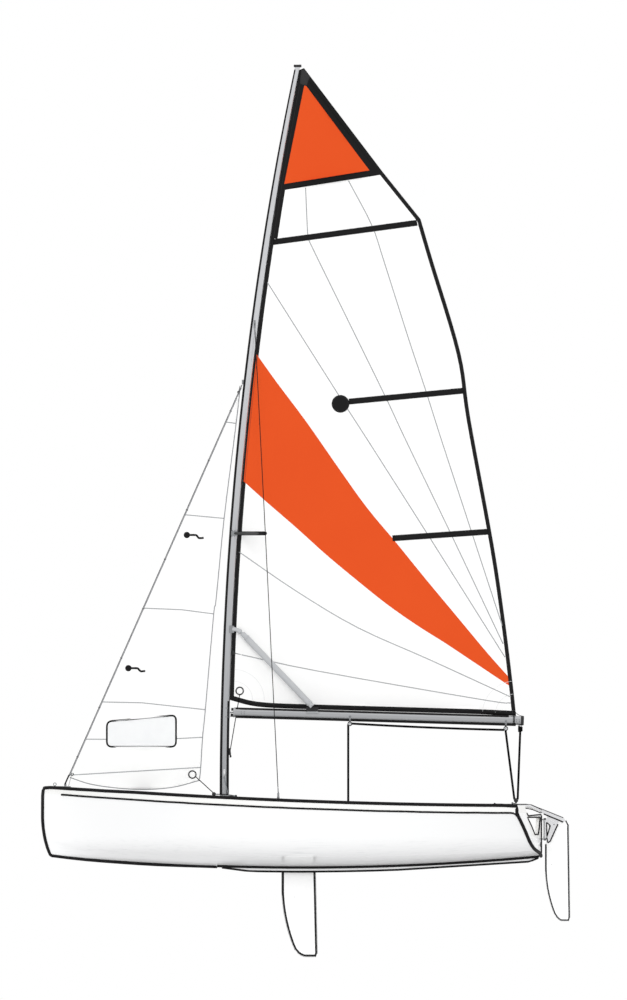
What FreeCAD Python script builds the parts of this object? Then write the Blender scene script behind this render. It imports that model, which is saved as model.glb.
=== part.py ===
import FreeCAD, Part
import math
import os

# Two-sail training dinghy, in millimetres.
# +X points to the bow, +Y to port, +Z up. The origin is on the centreline, amidships, at the waterline.
# Pairs of numbers are X and Z unless a comment names them.

# ---- hull and deck ----
STEM_X = 2129.0              # foremost point of the stem
STEM_STRAIGHT_Z = 289.0      # the stem is upright down to here
STEM_KNEE = (35.0, 70.0)     # then rounds under: how far aft it is at this height
STEM_RADIUS = 100.0          # its rounding seen from above
STEM_CHEEK = 60.0            # degrees of that rounding on each side
TRANSOM_X = -2112.0          # aftmost point of the transom, on the centreline
TRANSOM_SWEEP = 195.0        # how far the transom's corners lie forward of its middle
TRANSOM_HALF = 745.0         # half breadth where that sweep is measured
HALF_BEAM = 900.0            # widest half breadth at the gunwale
GUNWALE = 63.0               # height of the gunwale above the hull and deck seam
GUNWALE_ROUND = 8.0          # rounding of its edge
KEEL_LINE = ((2053.0, -37.0), (0.0, -137.0), (-2112.0, -43.0))
SEAM_LINE = ((1976.0, 480.0), (115.0, 369.0), (-1850.0, 323.0))
# x, half breadth at the gunwale as a share of the widest, half breadth and height of the chine's
# corner, and how far from that corner the bilge's rounding starts
STATIONS = ((-2250.0, 0.785, 420.0, 32.0, 120.0), (-1300.0, 0.935, 640.0, -10.0, 150.0),
            (-300.0, 1.000, 745.0, -28.0, 160.0), (600.0, 0.930, 660.0, -12.0, 150.0),
            (1300.0, 0.680, 400.0, 22.0, 110.0), (1800.0, 0.335, 140.0, 60.0, 50.0),
            (2140.0, 0.047, 16.0, 100.0, 10.0))
RUB_HEIGHT = 12.0            # rubbing strip on the seam
RUB_PROUD = 5.0
KEEL_WIDE = 76.0             # keel band under the bottom
KEEL_DEEP = 30.0
KEEL_FORE_X = 650.0          # it starts here
KEEL_FULL_X = 370.0          # and is at its full depth from here aft
KEEL_END = 99.0              # it tapers away over this length at the transom

# ---- cockpit ----
SKIN = 12.0                  # thickness of the cockpit moulding
SOLE_Z = 120.0               # top of the cockpit sole
# x, half breadth of the sole, half breadth at the deck
WELL = ((430.0, 330.0, 400.0), (-400.0, 470.0, 575.0), (-1250.0, 490.0, 610.0), (-2330.0, 470.0, 655.0))
WELL_DECK_Z = 400.0          # the height at which the second half breadth is measured
WELL_FRONT = 60.0            # how far the well's forward end bows out
TRANSOM_WALL = 34.0
BAR_MID_Z = 311.0            # top of the transom bar on the centreline
BAR_END_Z = 281.0            # and a beam's half breadth out
PORT_INNER = 150.0           # drain port: its upper corners' distances from the centreline
PORT_OUTER = 585.0
PORT_LOW_INNER = 262.0       # its lower corners
PORT_LOW_OUTER = 400.0
PORT_FLOOR = 141.0
PORT_ROOF = 286.0

# ---- centreboard, in its slot and case ----
BOARD_PIVOT = (20.0, -30.0)
BOARD_FRONT = 91.0           # leading edge, board down
BOARD_CHORD = 287.0
BOARD_TIP_Z = -899.0
BOARD_THICK = 28.0
BOARD_HEAD = 70.0            # height of its head above the pivot
BOARD_PIN = 10.0             # radius of the pivot pin
TIP_RAKE = 16.0              # the tip's aft corner lies this far aft of the trailing edge
TRAILING = 6.0               # thickness of the foils' trailing edges
SIDE_GAP = 6.0               # gap on each side of the board in its slot
END_GAP = 9.0                # gap at the slot's ends
CASE_WALL = 22.0
CASE_ROUND = 18.0            # rounding of the case's upright edges
CASE_ROOF = 15.0

# ---- mast, standing rigging and sails ----
MAST_LINE = ((580.0, 455.0), (426.0, 3578.0), (-41.0, 6660.0))
# height, length fore and aft, width
MAST_SECTIONS = ((470.0, 77.0, 62.0), (2000.0, 72.5, 58.0), (3500.0, 68.5, 55.0),
                 (5000.0, 62.0, 50.0), (6662.0, 43.0, 36.0))
WIRE = 5.0                   # diameter of the stays
SPREADER_Z = 2700.0
SPREADER_TIP = (231.0, 440.0)    # x and y
SPREADER_R = 11.0
HOUNDS_Z = 4482.0            # where the shrouds meet the mast
CHAINPLATE = (121.0, 822.0)  # x and y
SHROUD_FOOT = 62.0           # height of the shroud's lower end above the deck
STAY_FOOT = (1931.0, 575.0)
STAY_TOP_Z = 3992.0
STAY_SLOPE = -2.2594         # the forestay's rise for each millimetre forward
CLOTH = 6.0                  # thickness of the sails' solids
MAIN_CAMBER = 0.035          # depth of the sails' curve as a share of their width
JIB_CAMBER = 0.05
TACK_Z = 1276.0
# height and x of the sails' aft edges
MAIN_LEECH = ((1100.0, -1912.0), (2606.0, -1712.0), (4235.0, -1430.0), (5371.0, -1092.0),
              (6700.0, -160.0))
JIB_LEECH = ((480.0, 790.0), (966.0, 762.0), (2012.0, 668.0), (2829.0, 579.0), (3902.0, 446.0),
             (3960.0, 437.0))
LUFF_GAP = 1.2               # between a sail's forward edge and its spar or stay

# ---- boom ----
SWING_FOOT = (495.0, 1178.0)     # boom and mainsail swing about the line between these two points,
SWING_HEAD = (-92.0, 6655.0)     # from the gooseneck to the head of the sail
BOOM_LONG = 2463.0           # from the gooseneck's axis to the aft end
BOOM_SLOPE = 1.65            # degrees, down towards its aft end
BOOM_WIDE = 60.0
BOOM_HIGH = 77.0
END_CAP = 26.0
NOSE_R = 29.0
GOOSE_SLOT = 24.0            # slot in the boom's nose for the gooseneck's tongue
GOOSE_PIN = 5.0              # radius of its pin
BLOCK_R = 20.0               # boom blocks
BLOCK_THICK = 20.0
# distance from the gooseneck, drop below the boom
BOOM_BLOCKS = ((2311.0, 32.0), (985.0, 30.0))
STRUT_R = 22.0               # rigid strut between mast and boom
STRUT_Y = 54.0
STRUT_TOP = (428.0, 1852.0)
STRUT_FOOT_X = -168.0
STRUT_FOOT_UP = 32.0         # height of its lower end above the boom
STRUT_BRACKET_Z = 1884.0

# ---- deck fittings ----
SWIVEL_X = -472.0            # mainsheet swivel on the centreboard case
CLEAT_X = 520.0
CLEAT_Y = (-150.0, -95.0, 95.0, 150.0)
LEAD_AHEAD = 88.0            # jib sheet blocks, forward of the mast's foot
LEAD_Y = 26.0
HATCH_X = 1280.0
HATCH_R = 92.0
HATCH_PROUD = 3.0
EYE_X = 2020.0               # bow eye
EYE_BORE = 9.0
EYE_BAR = 6.0
EYE_THICK = 8.0
STRAP_Y = 205.0              # toe straps
STRAP_ENDS = (-1760.0, -1000.0)
STRAP_WIDE = 50.0
STRAP_THICK = 4.0
STRAP_UP = 70.0              # height above the sole

# ---- rudder: distances named AFT are measured aft of its axis ----
RUDDER_X = TRANSOM_X - 33.0
GUDGEON_Z = (102.0, 267.0)
GUDGEON_THICK = 10.0
GUDGEON_R = 12.0
PINTLE_R = 5.0
PIVOT_AFT = 78.0             # the blade's pivot
PIVOT_Z = 225.0
BOLT_R = 6.0
BLADE_THICK = 22.0
BLADE_TIP_Z = -594.0
CHEEK_GAP = 1.0              # between the blade and each cheek of the stock
CHEEK_THICK = 5.0
TILLER_R = 14.5
TILLER_Z = 380.0
TILLER_REACH = 950.0         # from the rudder's axis to the tiller's forward end
BEND_AHEAD = 130.0           # the tiller's bend, forward of the rudder's axis
TILLER_DROP = 22.0           # degrees, aft of the bend
FORK_AFT = 161.0             # the aft end of the tiller's fork
STRAP_WALL = 4.0             # thickness of its straps
GRIP_R = 10.0                # tiller extension
GRIP_LONG = 760.0

SEAT = 0.3                   # gap between pieces that bear on each other
FAR = 1200.0                 # cutting tools reach this far out, down and up
LOW = -600.0
HIGH = 900.0
PAST = 100.0                 # and this far past the transom

os.makedirs("parts", exist_ok=True)
V = FreeCAD.Vector
TO_PORT = V(0, 1, 0)


def save(name, *shapes):
    """Write one or more solids as one named node."""
    solids = []
    for shape in shapes:
        solids.extend(shape.Solids)
    whole = solids[0] if len(solids) == 1 else Part.makeCompound(solids)
    whole.exportStep("parts/" + name + ".step")


def largest(shape):
    return max(shape.Solids, key=lambda solid: solid.Volume)


def block(x0, x1, y0, y1, z0, z1):
    return Part.makeBox(x1 - x0, y1 - y0, z1 - z0, V(x0, y0, z0))


def rod(start, end, radius):
    """A round bar between two points."""
    run = V(*end) - V(*start)
    return Part.makeCylinder(radius, run.Length, V(*start), run)


def pin_across(x, z, radius, half_long, y=0.0):
    """A round bar that lies across the boat."""
    return Part.makeCylinder(radius, 2 * half_long, V(x, y - half_long, z), TO_PORT)


def side_view(a, b):
    return V(a, 0, b)


def plan_view(a, b):
    return V(a, b, 0)


def end_view(a, b):
    return V(0, a, b)


def outline(place, start, *steps):
    """A closed wire. Each step is the next corner, or a middle point and an end point of an arc."""
    edges = []
    here = start
    for step in steps + (start,):
        if isinstance(step[0], tuple):
            edges.append(Part.Arc(place(*here), place(*step[0]), place(*step[1])).toShape())
            here = step[1]
        elif math.dist(here, step) > 1e-6:
            edges.append(Part.LineSegment(place(*here), place(*step)).toShape())
            here = step
    return Part.Wire(edges)


def plate(wire, y0, y1):
    """A side-view outline given thickness across the boat."""
    face = Part.Face(wire)
    face.translate(V(0, y0, 0))
    return face.extrude(V(0, y1 - y0, 0))


def column(wire, z0, z1):
    """A plan-view outline given height."""
    face = Part.Face(wire)
    face.translate(V(0, 0, z0))
    return face.extrude(V(0, 0, z1 - z0))


def tunnel(wire, x0, x1):
    """An end-view outline given length along the boat."""
    face = Part.Face(wire)
    face.translate(V(x0, 0, 0))
    return face.extrude(V(x1 - x0, 0, 0))


def mirrored(shape):
    return shape.mirror(V(0, 0, 0), TO_PORT)


def round_upright_edges(shape, radius):
    upright = [e for e in shape.Edges if abs(e.tangentAt(e.FirstParameter).z) > 0.9]
    return shape.makeFillet(radius, upright)


def arc_value(at, first, second, third):
    """The second coordinate, at a given first one, of the circle through three points."""
    (x1, z1), (x2, z2), (x3, z3) = first, second, third
    d = 2 * (x1 * (z2 - z3) + x2 * (z3 - z1) + x3 * (z1 - z2))
    s1, s2, s3 = x1 * x1 + z1 * z1, x2 * x2 + z2 * z2, x3 * x3 + z3 * z3
    cx = (s1 * (z2 - z3) + s2 * (z3 - z1) + s3 * (z1 - z2)) / d
    cz = (s1 * (x3 - x2) + s2 * (x1 - x3) + s3 * (x2 - x1)) / d
    rise = math.sqrt((x1 - cx) ** 2 + (z1 - cz) ** 2 - (at - cx) ** 2)
    return cz - rise if z2 < cz else cz + rise


def between(at, rows, column_index):
    """Straight-line interpolation in a table whose first column rises."""
    for low, high in zip(rows, rows[1:]):
        if at <= high[0]:
            share = (at - low[0]) / (high[0] - low[0])
            return low[column_index] + share * (high[column_index] - low[column_index])
    return rows[-1][column_index]


def keel_z(x):
    return arc_value(x, *KEEL_LINE)


def seam_z(x):
    return arc_value(x, *SEAM_LINE)


def deck_z(x):
    return seam_z(x) + GUNWALE


# ======== hull and deck ========
keel_fore_x = KEEL_LINE[0][0]
corner_x = TRANSOM_X + TRANSOM_SWEEP
LOFT_TOP = 700.0             # the lofted body is cut down from here
STEM_TOP = 20.0              # the stem's top lies this far below the deck's line
SHOULDER = 900.0             # the bow's straight sides seen from above reach this far aft
CORNER_OUT = 130.0           # the transom's corners run out over this length


def half_section(x, share, chine_half, chine_z, ease, grow):
    """Points of the port half section: keel, bilge start, middle and end, gunwale, top."""
    keel = (0.0, keel_z(min(x, keel_fore_x + 7.0)))
    chine = (chine_half + grow, chine_z)
    gunwale = (share * HALF_BEAM + grow, seam_z(x))
    to_keel = V(keel[0] - chine[0], keel[1] - chine[1], 0).normalize()
    to_gunwale = V(gunwale[0] - chine[0], gunwale[1] - chine[1], 0).normalize()
    half_turn = math.acos(to_keel.dot(to_gunwale)) / 2
    inward = (to_keel + to_gunwale).normalize()
    to_middle = ease / math.cos(half_turn) - ease * math.tan(half_turn)
    middle = (chine[0] + inward.x * to_middle, chine[1] + inward.y * to_middle)
    start = (chine[0] + to_keel.x * ease, chine[1] + to_keel.y * ease)
    end = (chine[0] + to_gunwale.x * ease, chine[1] + to_gunwale.y * ease)
    return keel, start, middle, end, gunwale, (gunwale[0], LOFT_TOP)


def station(x, share, chine_half, chine_z, ease, grow):
    """One whole section of the moulded body."""
    keel, start, middle, end, gunwale, top = half_section(x, share, chine_half, chine_z, ease, grow)

    def place(a, b):
        return V(x, a, b)

    def other(point):
        return (-point[0], point[1])

    return outline(place, keel, start, (middle, end), gunwale, top, other(top), other(gunwale),
                   other(end), (other(middle), other(start)))


def moulded_body(grow):
    """The closed outer shape of hull and deck, its breadth grown by a few millimetres."""
    loft = Part.makeLoft([station(*row, grow) for row in STATIONS], True, False)
    stem = STEM_X + grow
    behind = TRANSOM_X - PAST
    side = plate(outline(side_view, (stem, deck_z(STAY_FOOT[0]) - STEM_TOP), (stem, STEM_STRAIGHT_Z),
                         ((stem - STEM_KNEE[0], STEM_KNEE[1]), (keel_fore_x, keel_z(keel_fore_x))),
                         ((0.0, keel_z(0.0)), (behind, keel_z(behind))),
                         (behind, deck_z(behind)),
                         ((0.0, deck_z(0.0)), (STEM_X - 25.0, deck_z(STEM_X - 25.0)))), -FAR, FAR)
    ahead = stem - STEM_RADIUS
    cheek = STEM_RADIUS * math.sin(math.radians(STEM_CHEEK))
    step = STEM_RADIUS * math.cos(math.radians(STEM_CHEEK))
    plan = column(outline(plan_view, (corner_x, -TRANSOM_HALF), (corner_x + CORNER_OUT, -FAR),
                          (ahead - SHOULDER, -FAR), (ahead + step, -cheek),
                          ((stem, 0.0), (ahead + step, cheek)),
                          (ahead - SHOULDER, FAR), (corner_x + CORNER_OUT, FAR), (corner_x, TRANSOM_HALF),
                          ((TRANSOM_X, 0.0), (corner_x, -TRANSOM_HALF))), LOW, HIGH)
    return loft.common(side).common(plan)


def below_seam(lift):
    """Everything under the seam's line raised by lift."""
    fore = SEAM_LINE[0][0] + 300.0
    aft = SEAM_LINE[2][0] - 400.0
    middle = (SEAM_LINE[1][0], SEAM_LINE[1][1] + lift)
    return plate(outline(side_view, (aft, LOW), (aft, seam_z(aft) + lift),
                         (middle, (fore, seam_z(fore) + lift)), (fore, LOW)), -FAR, FAR)


def well(grow):
    """The open space of the cockpit, grown on every side."""
    wires = []
    for z in (SOLE_Z - grow, LOFT_TOP):
        lean = (z - SOLE_Z) / (WELL_DECK_Z - SOLE_Z)
        rows = [(x, sole + (deck - sole) * lean + grow) for x, sole, deck in WELL]
        (fx, fy), (mx, my), (ax, ay), (sx, sy) = rows
        bow_out = fx + WELL_FRONT * (1 + lean) / 2 + grow

        def place(a, b, level=z):
            return V(a, b, level)

        wires.append(outline(place, (sx, -sy), (ax, -ay), (mx, -my), (fx, -fy),
                             ((bow_out, 0.0), (fx, fy)), (mx, my), (ax, ay), (sx, sy)))
    return Part.makeLoft(wires, True, True)


body = moulded_body(0.0)
under_seam = below_seam(0.0)
cockpit = well(0.0)
liner = well(SKIN)

board_aft = BOARD_FRONT - BOARD_CHORD
board_reach = math.hypot(BOARD_PIVOT[0] - board_aft + TIP_RAKE, BOARD_PIVOT[1] - BOARD_TIP_Z)
slot_front = BOARD_FRONT + END_GAP
slot_aft = BOARD_PIVOT[0] - board_reach - END_GAP
slot_half = BOARD_THICK / 2 + SIDE_GAP
slot_roof = BOARD_PIVOT[1] + BOARD_PIVOT[0] - board_aft + BOARD_THICK
slot = block(slot_aft, slot_front, -slot_half, slot_half, LOW, slot_roof)
case_half = slot_half + CASE_WALL
case_ends = (slot_aft - CASE_WALL, slot_front + CASE_WALL)
case = block(*case_ends, -case_half, case_half, SOLE_Z - SKIN, slot_roof)
case = round_upright_edges(case, CASE_ROUND)

# transom wall: the aft skin of the cockpit, with its drain ports, up to the bar
wall_x = TRANSOM_X + TRANSOM_WALL
wall_corner = wall_x + TRANSOM_SWEEP
behind_wall = column(outline(plan_view, (wall_corner, -TRANSOM_HALF), (wall_corner, -FAR),
                             (TRANSOM_X - PAST, -FAR), (TRANSOM_X - PAST, FAR), (wall_corner, FAR),
                             (wall_corner, TRANSOM_HALF), ((wall_x, 0.0), (wall_corner, -TRANSOM_HALF))),
                     LOW, HIGH)
under_bar = tunnel(outline(end_view, (-HALF_BEAM, LOW), (-HALF_BEAM, BAR_END_Z),
                           ((0.0, BAR_MID_Z), (HALF_BEAM, BAR_END_Z)), (HALF_BEAM, LOW)),
                   TRANSOM_X - PAST, corner_x + FAR)
port_hole = tunnel(outline(end_view, (PORT_INNER, PORT_ROOF), (PORT_INNER + 60.0, PORT_FLOOR + 60.0),
                           ((PORT_INNER + 84.0, PORT_FLOOR + 14.0), (PORT_LOW_INNER + 20.0, PORT_FLOOR)),
                           (PORT_LOW_OUTER - 60.0, PORT_FLOOR),
                           ((PORT_LOW_OUTER, PORT_FLOOR + 16.0), (PORT_LOW_OUTER + 45.0, PORT_FLOOR + 45.0)),
                           (PORT_OUTER, PORT_ROOF)), TRANSOM_X - PAST, corner_x + FAR)
transom_wall = body.common(behind_wall).common(under_bar).common(liner)
transom_wall = transom_wall.cut(port_hole).cut(mirrored(port_hole))

above_seam = body.cut(under_seam)
gunwale_edges = []
for edge in above_seam.Edges:
    middle = edge.valueAt((edge.FirstParameter + edge.LastParameter) / 2)
    on_top = abs(middle.z - deck_z(middle.x)) < 2.0
    if on_top and abs(middle.y) > 20.0 and middle.x > corner_x + 55.0:
        gunwale_edges.append(edge)
above_seam = above_seam.makeFillet(GUNWALE_ROUND, gunwale_edges)
inner = body.common(liner).common(under_seam)
deck = above_seam.fuse(inner).cut(cockpit).fuse(transom_wall).fuse(case).cut(slot)
save("deck", deck.removeSplitter())
save("hull", body.common(under_seam).cut(liner).cut(slot))

# rubbing strip along the seam, on both sides up to the transom's corners
strip = moulded_body(RUB_PROUD).common(below_seam(RUB_HEIGHT / 2))
strip = strip.cut(below_seam(-RUB_HEIGHT / 2)).cut(body)
strip = strip.common(block(corner_x + 6.0, SEAM_LINE[0][0], -FAR, FAR, LOW, HIGH))
save("rubbing_strip", strip)

# keel band under the bottom, split by the centreboard's slot
KEEL_INSIDE_Z = 60.0         # the band's outline closes inside the hull, which then cuts it
keel_aft = TRANSOM_X + KEEL_END
keel_end = TRANSOM_X + 4.0
keel_band = plate(outline(side_view, (KEEL_FORE_X, keel_z(KEEL_FORE_X)),
                          (KEEL_FULL_X, keel_z(KEEL_FULL_X) - KEEL_DEEP),
                          ((-150.0, keel_z(-150.0) - KEEL_DEEP), (-900.0, keel_z(-900.0) - KEEL_DEEP)),
                          (keel_aft, keel_z(keel_aft) - KEEL_DEEP), (keel_end, keel_z(TRANSOM_X)),
                          (keel_end, KEEL_INSIDE_Z), (KEEL_FORE_X, KEEL_INSIDE_Z)),
                  -KEEL_WIDE / 2, KEEL_WIDE / 2)
save("keel_band", keel_band.cut(body).cut(slot))

# ======== centreboard ========
(pivot_x, pivot_z) = BOARD_PIVOT
board_top = pivot_z + BOARD_HEAD
head_round = 50.0            # rounding of the head's forward corner
board_side = plate(outline(side_view, (BOARD_FRONT, pivot_z), (BOARD_FRONT, -353.0),
                           ((BOARD_FRONT - 28.0, -580.0), (BOARD_FRONT - 94.0, -804.0)),
                           ((BOARD_FRONT - 133.0, -866.0), (BOARD_FRONT - 196.0, BOARD_TIP_Z)),
                           (board_aft - TIP_RAKE, BOARD_TIP_Z), (board_aft, -176.0),
                           (board_aft, board_top - 60.0),
                           ((board_aft + 18.0, board_top - 18.0), (board_aft + 60.0, board_top)),
                           (pivot_x + 10.0, board_top),
                           ((pivot_x + head_round, pivot_z + head_round), (BOARD_FRONT, pivot_z))),
                   -BOARD_THICK, BOARD_THICK)


def foil(front, shoulder, aft, thick, low, high):
    """A foil's section run up and down: a round nose, flat sides and a straight taper aft."""
    half = thick / 2
    edge = TRAILING / 2
    return column(outline(plan_view, (front - half, half), (shoulder, half), (aft, edge), (aft, -edge),
                          (shoulder, -half), (front - half, -half), ((front, 0.0), (front - half, half))),
                  low, high)


board = board_side.common(foil(BOARD_FRONT, pivot_x - 60.0, board_aft - 20.0, BOARD_THICK, -FAR, HIGH))
save("centreboard", board.cut(pin_across(pivot_x, pivot_z, BOARD_PIN + SEAT, BOARD_THICK)))
save("centreboard_pin", pin_across(pivot_x, pivot_z, BOARD_PIN, slot_half - SEAT))
case_top = slot_roof + CASE_ROOF
roof = block(*case_ends, -case_half, case_half, slot_roof, case_top)
save("centreboard_case_cap", round_upright_edges(roof, CASE_ROUND))

# ======== mast ========


def mast_x(z):
    """Where the bent mast's middle is at a height."""
    flipped = [(b, a) for a, b in MAST_LINE]
    return arc_value(z, *flipped)


def mast_aft(z):
    return mast_x(z) - between(z, MAST_SECTIONS, 1) / 2


def mast_front(z):
    return mast_x(z) + between(z, MAST_SECTIONS, 1) / 2


def mast_half_width(z):
    return between(z, MAST_SECTIONS, 2) / 2


def mast_section(z, long, wide):
    """Two straight sides and two rounded ends, at one height."""
    r = wide / 2
    flat = long / 2 - r

    def place(a, b):
        return V(mast_x(z) + a, b, z)

    return outline(place, (-flat, -r), (flat, -r), ((flat + r, 0.0), (flat, r)), (-flat, r),
                   ((-flat - r, 0.0), (-flat, -r)))


mast = Part.makeLoft([mast_section(*row) for row in MAST_SECTIONS], True, False)
save("mast", mast)
mast_foot_z = MAST_SECTIONS[0][0]
mast_top_z = MAST_SECTIONS[-1][0]
head_x = mast_x(mast_top_z)
cap = column(outline(plan_view, (head_x - 34.0, -15.0), (head_x + 16.0, -15.0),
                     ((head_x + 31.0, 0.0), (head_x + 16.0, 15.0)), (head_x - 34.0, 15.0)),
             mast_top_z, mast_top_z + 22.0)
save("masthead_cap", cap)
foot_x = mast_x(mast_foot_z)
step = column(outline(plan_view, (foot_x - 50.0, -42.0), (foot_x + 50.0, -42.0),
                      ((foot_x + 92.0, 0.0), (foot_x + 50.0, 42.0)), (foot_x - 50.0, 42.0),
                      ((foot_x - 92.0, 0.0), (foot_x - 50.0, -42.0))),
              deck_z(foot_x) - 14.0, mast_foot_z)
save("mast_step", step.cut(body))

# ======== standing rigging ========
(chain_x, chain_y) = CHAINPLATE
(tip_x, tip_y) = SPREADER_TIP
chain_deck = deck_z(chain_x)
tang_y = mast_half_width(HOUNDS_Z) + 7.0
hounds = (mast_x(HOUNDS_Z), tang_y, HOUNDS_Z)
tip = (tip_x, tip_y, SPREADER_Z)
shroud = rod(hounds, tip, WIRE / 2).fuse(rod(tip, (chain_x, chain_y, chain_deck + SHROUD_FOOT), WIRE / 2))
shroud = shroud.fuse(Part.makeSphere(WIRE / 2, V(*tip)))
save("shrouds", shroud, mirrored(shroud))

root_x = mast_x(SPREADER_Z) - 6.0
root_y = mast_half_width(SPREADER_Z)
arm = V(tip_x - root_x, tip_y - root_y, 0).normalize()
arm_end = V(*tip) - arm * (WIRE / 2 + SEAT)
socket = block(root_x - 26.0, root_x + 26.0, root_y - 6.0, root_y + 14.0,
               SPREADER_Z - 20.0, SPREADER_Z + 20.0).cut(mast)
spreader = rod((root_x - 2.0, root_y - 1.0, SPREADER_Z), arm_end, SPREADER_R)
spreader = largest(spreader.cut(mast).cut(shroud).cut(socket))
save("spreaders", spreader, mirrored(spreader))
save("spreader_brackets", socket, mirrored(socket))

tang_face = tang_y - WIRE / 2 - SEAT
tang = block(hounds[0] - 9.0, hounds[0] + 9.0, mast_half_width(HOUNDS_Z) - 3.0, tang_face,
             HOUNDS_Z - 40.0, HOUNDS_Z + 30.0).cut(mast)
tang = tang.fuse(pin_across(hounds[0], HOUNDS_Z + 9.0, 6.0, 6.0, tang_face + 5.0))


def stay_x(z):
    """Where the forestay is at a height."""
    return STAY_FOOT[0] + (z - STAY_FOOT[1]) / STAY_SLOPE


stay_tang = block(mast_front(STAY_TOP_Z) - 4.0, stay_x(STAY_TOP_Z) + 12.0, -3.0, 3.0,
                  STAY_TOP_Z - 26.0, STAY_TOP_Z + 14.0).cut(mast)
save("hounds_tangs", tang, mirrored(tang), stay_tang)
stay_end_z = STAY_TOP_Z - 30.0 - SEAT
save("forestay", rod((stay_x(stay_end_z), 0.0, stay_end_z), (STAY_FOOT[0], 0.0, STAY_FOOT[1]), WIRE / 2))

ear_thick = 6.0
chain_plate = block(chain_x - 16.0, chain_x + 16.0, chain_y - 24.0, chain_y + 24.0,
                    chain_deck - 8.0, chain_deck + 4.0)
chain_ear = block(chain_x - 11.0, chain_x + 11.0, chain_y - ear_thick / 2, chain_y + ear_thick / 2,
                  chain_deck + 2.0, chain_deck + 30.0)
chain_plate = chain_plate.fuse(chain_ear).cut(body)
save("chainplates", chain_plate, mirrored(chain_plate))
adjuster = block(chain_x - 9.0, chain_x + 9.0, chain_y - 9.0, chain_y + 9.0,
                 chain_deck + 12.0, chain_deck + SHROUD_FOOT - SEAT)
fork_half = ear_thick / 2 + 0.5
adjuster = adjuster.cut(block(chain_x - 20.0, chain_x + 20.0, chain_y - fork_half, chain_y + fork_half,
                              chain_deck, chain_deck + 34.0)).cut(shroud)
save("shroud_adjusters", adjuster, mirrored(adjuster))

# stem fitting: a plate on the foredeck with the forestay's ear, and the eye for the bow line on it
stem_deck = deck_z(STAY_FOOT[0])
plate_top = stem_deck + 12.0
stem_plate = block(STAY_FOOT[0] - 46.0, STAY_FOOT[0] + 96.0, -22.0, 22.0, stem_deck - 12.0, plate_top)
stem_ear = block(STAY_FOOT[0] - 10.0, STAY_FOOT[0] + 10.0, -4.0, 4.0, plate_top - 2.0, STAY_FOOT[1] - 1.3)
save("stem_fitting", stem_plate.fuse(stem_ear).cut(body))
eye_z = plate_top + EYE_BORE + EYE_BAR + SEAT
eye = pin_across(EYE_X, eye_z, EYE_BORE + EYE_BAR, EYE_THICK / 2)
save("bow_eye", eye.cut(pin_across(EYE_X, eye_z, EYE_BORE, EYE_THICK)))

# ======== sails ========
(fx, fz), (hx, hz) = SWING_FOOT, SWING_HEAD


def swing_x(z):
    """Where the mainsail's swing line is at a height."""
    return fx + (z - fz) * (hx - fx) / (hz - fz)


def boom_top(x):
    return fz + BOOM_HIGH / 2 + (x - fx) * math.sin(math.radians(BOOM_SLOPE))


def main_leech(z):
    return between(z, MAIN_LEECH, 1) - 14.0


def jib_leech(z):
    return between(z, JIB_LEECH, 1) - 6.0


def jib_luff(z):
    return stay_x(z) - WIRE / 2 - LUFF_GAP


def cloth_body(levels, luff_at, leech_at, camber):
    """A cambered sheet, as a loft through one bowed section for each height."""
    wires = []
    t = CLOTH / 2
    for z in levels:
        luff = luff_at(z)
        leech = leech_at(z)
        deep = camber * abs(luff - leech)
        middle = (luff + leech) / 2

        def place(a, b, level=z):
            return V(a, b, level)

        wires.append(outline(place, (luff, t), ((middle, t - deep), (leech, t)), (leech, -t),
                             ((middle, -t - deep), (luff, -t))))
    return Part.makeLoft(wires, True, False)


clew_x = -1901.0
main_outline = outline(side_view, (swing_x(TACK_Z) - 6.0, TACK_Z), (hx - 3.0, hz), (-768.0, 5771.0),
                       (-1089.0, 5371.0), ((-1427.0, 4235.0), (-1709.0, 2606.0)),
                       ((-1817.0, 1880.0), (clew_x, boom_top(clew_x) + SEAT)),
                       (-20.0, boom_top(-20.0) + 7.0), ((240.0, 1222.0), (366.0, 1245.0)))
main_cloth = cloth_body([1100.0, 2600.0, 4200.0, 5400.0, 6700.0], swing_x, main_leech, MAIN_CAMBER)
save("mainsail", main_cloth.common(plate(main_outline, -FAR, FAR)))

# the mainsail's forward edge, which stays in the mast's groove while the sail swings
luff_low = TACK_Z + 6.0
luff_high = hz - 34.0
luff_levels = [luff_low + (luff_high - luff_low) * i / 8 for i in range(9)]
groove = []
for low, high in zip(luff_levels, luff_levels[1:]):
    mid = (low + high) / 2
    groove.append(((mast_aft(mid) - LUFF_GAP, mid), (mast_aft(high) - LUFF_GAP, high)))
luff_band = plate(outline(side_view, (mast_aft(luff_low) - LUFF_GAP, luff_low), *groove,
                          (swing_x(luff_high) + 8.0, luff_high), (swing_x(luff_low) + 8.0, luff_low)),
                  -CLOTH / 2, CLOTH / 2)
save("mainsail_luff", luff_band)

jib_outline = outline(side_view, (jib_luff(641.0), 641.0), (1893.0, 622.0),
                      ((1400.0, 522.0), (1005.0, 540.0)), (791.0, 590.0), (776.0, 711.0), (760.0, 966.0),
                      ((672.0, 2012.0), (475.0, 3634.0)), (445.0, 3902.0), (jib_luff(3940.0), 3940.0))
jib_cloth = cloth_body([470.0, 1500.0, 2700.0, 3946.0], jib_luff, jib_leech, JIB_CAMBER)
save("jib", jib_cloth.common(plate(jib_outline, -FAR, FAR)))

# ======== boom ========
slope = math.radians(BOOM_SLOPE)
along = V(-math.cos(slope), 0, -math.sin(slope))
rise = V(-math.sin(slope), 0, math.cos(slope))
gooseneck = V(fx, 0, fz)
swing_line = V(hx - fx, 0, hz - fz).normalize()


def on_boom(distance, across=0.0, up=0.0):
    """A point in the boom's own directions, from the gooseneck."""
    return gooseneck + along * distance + TO_PORT * across + rise * up


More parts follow.
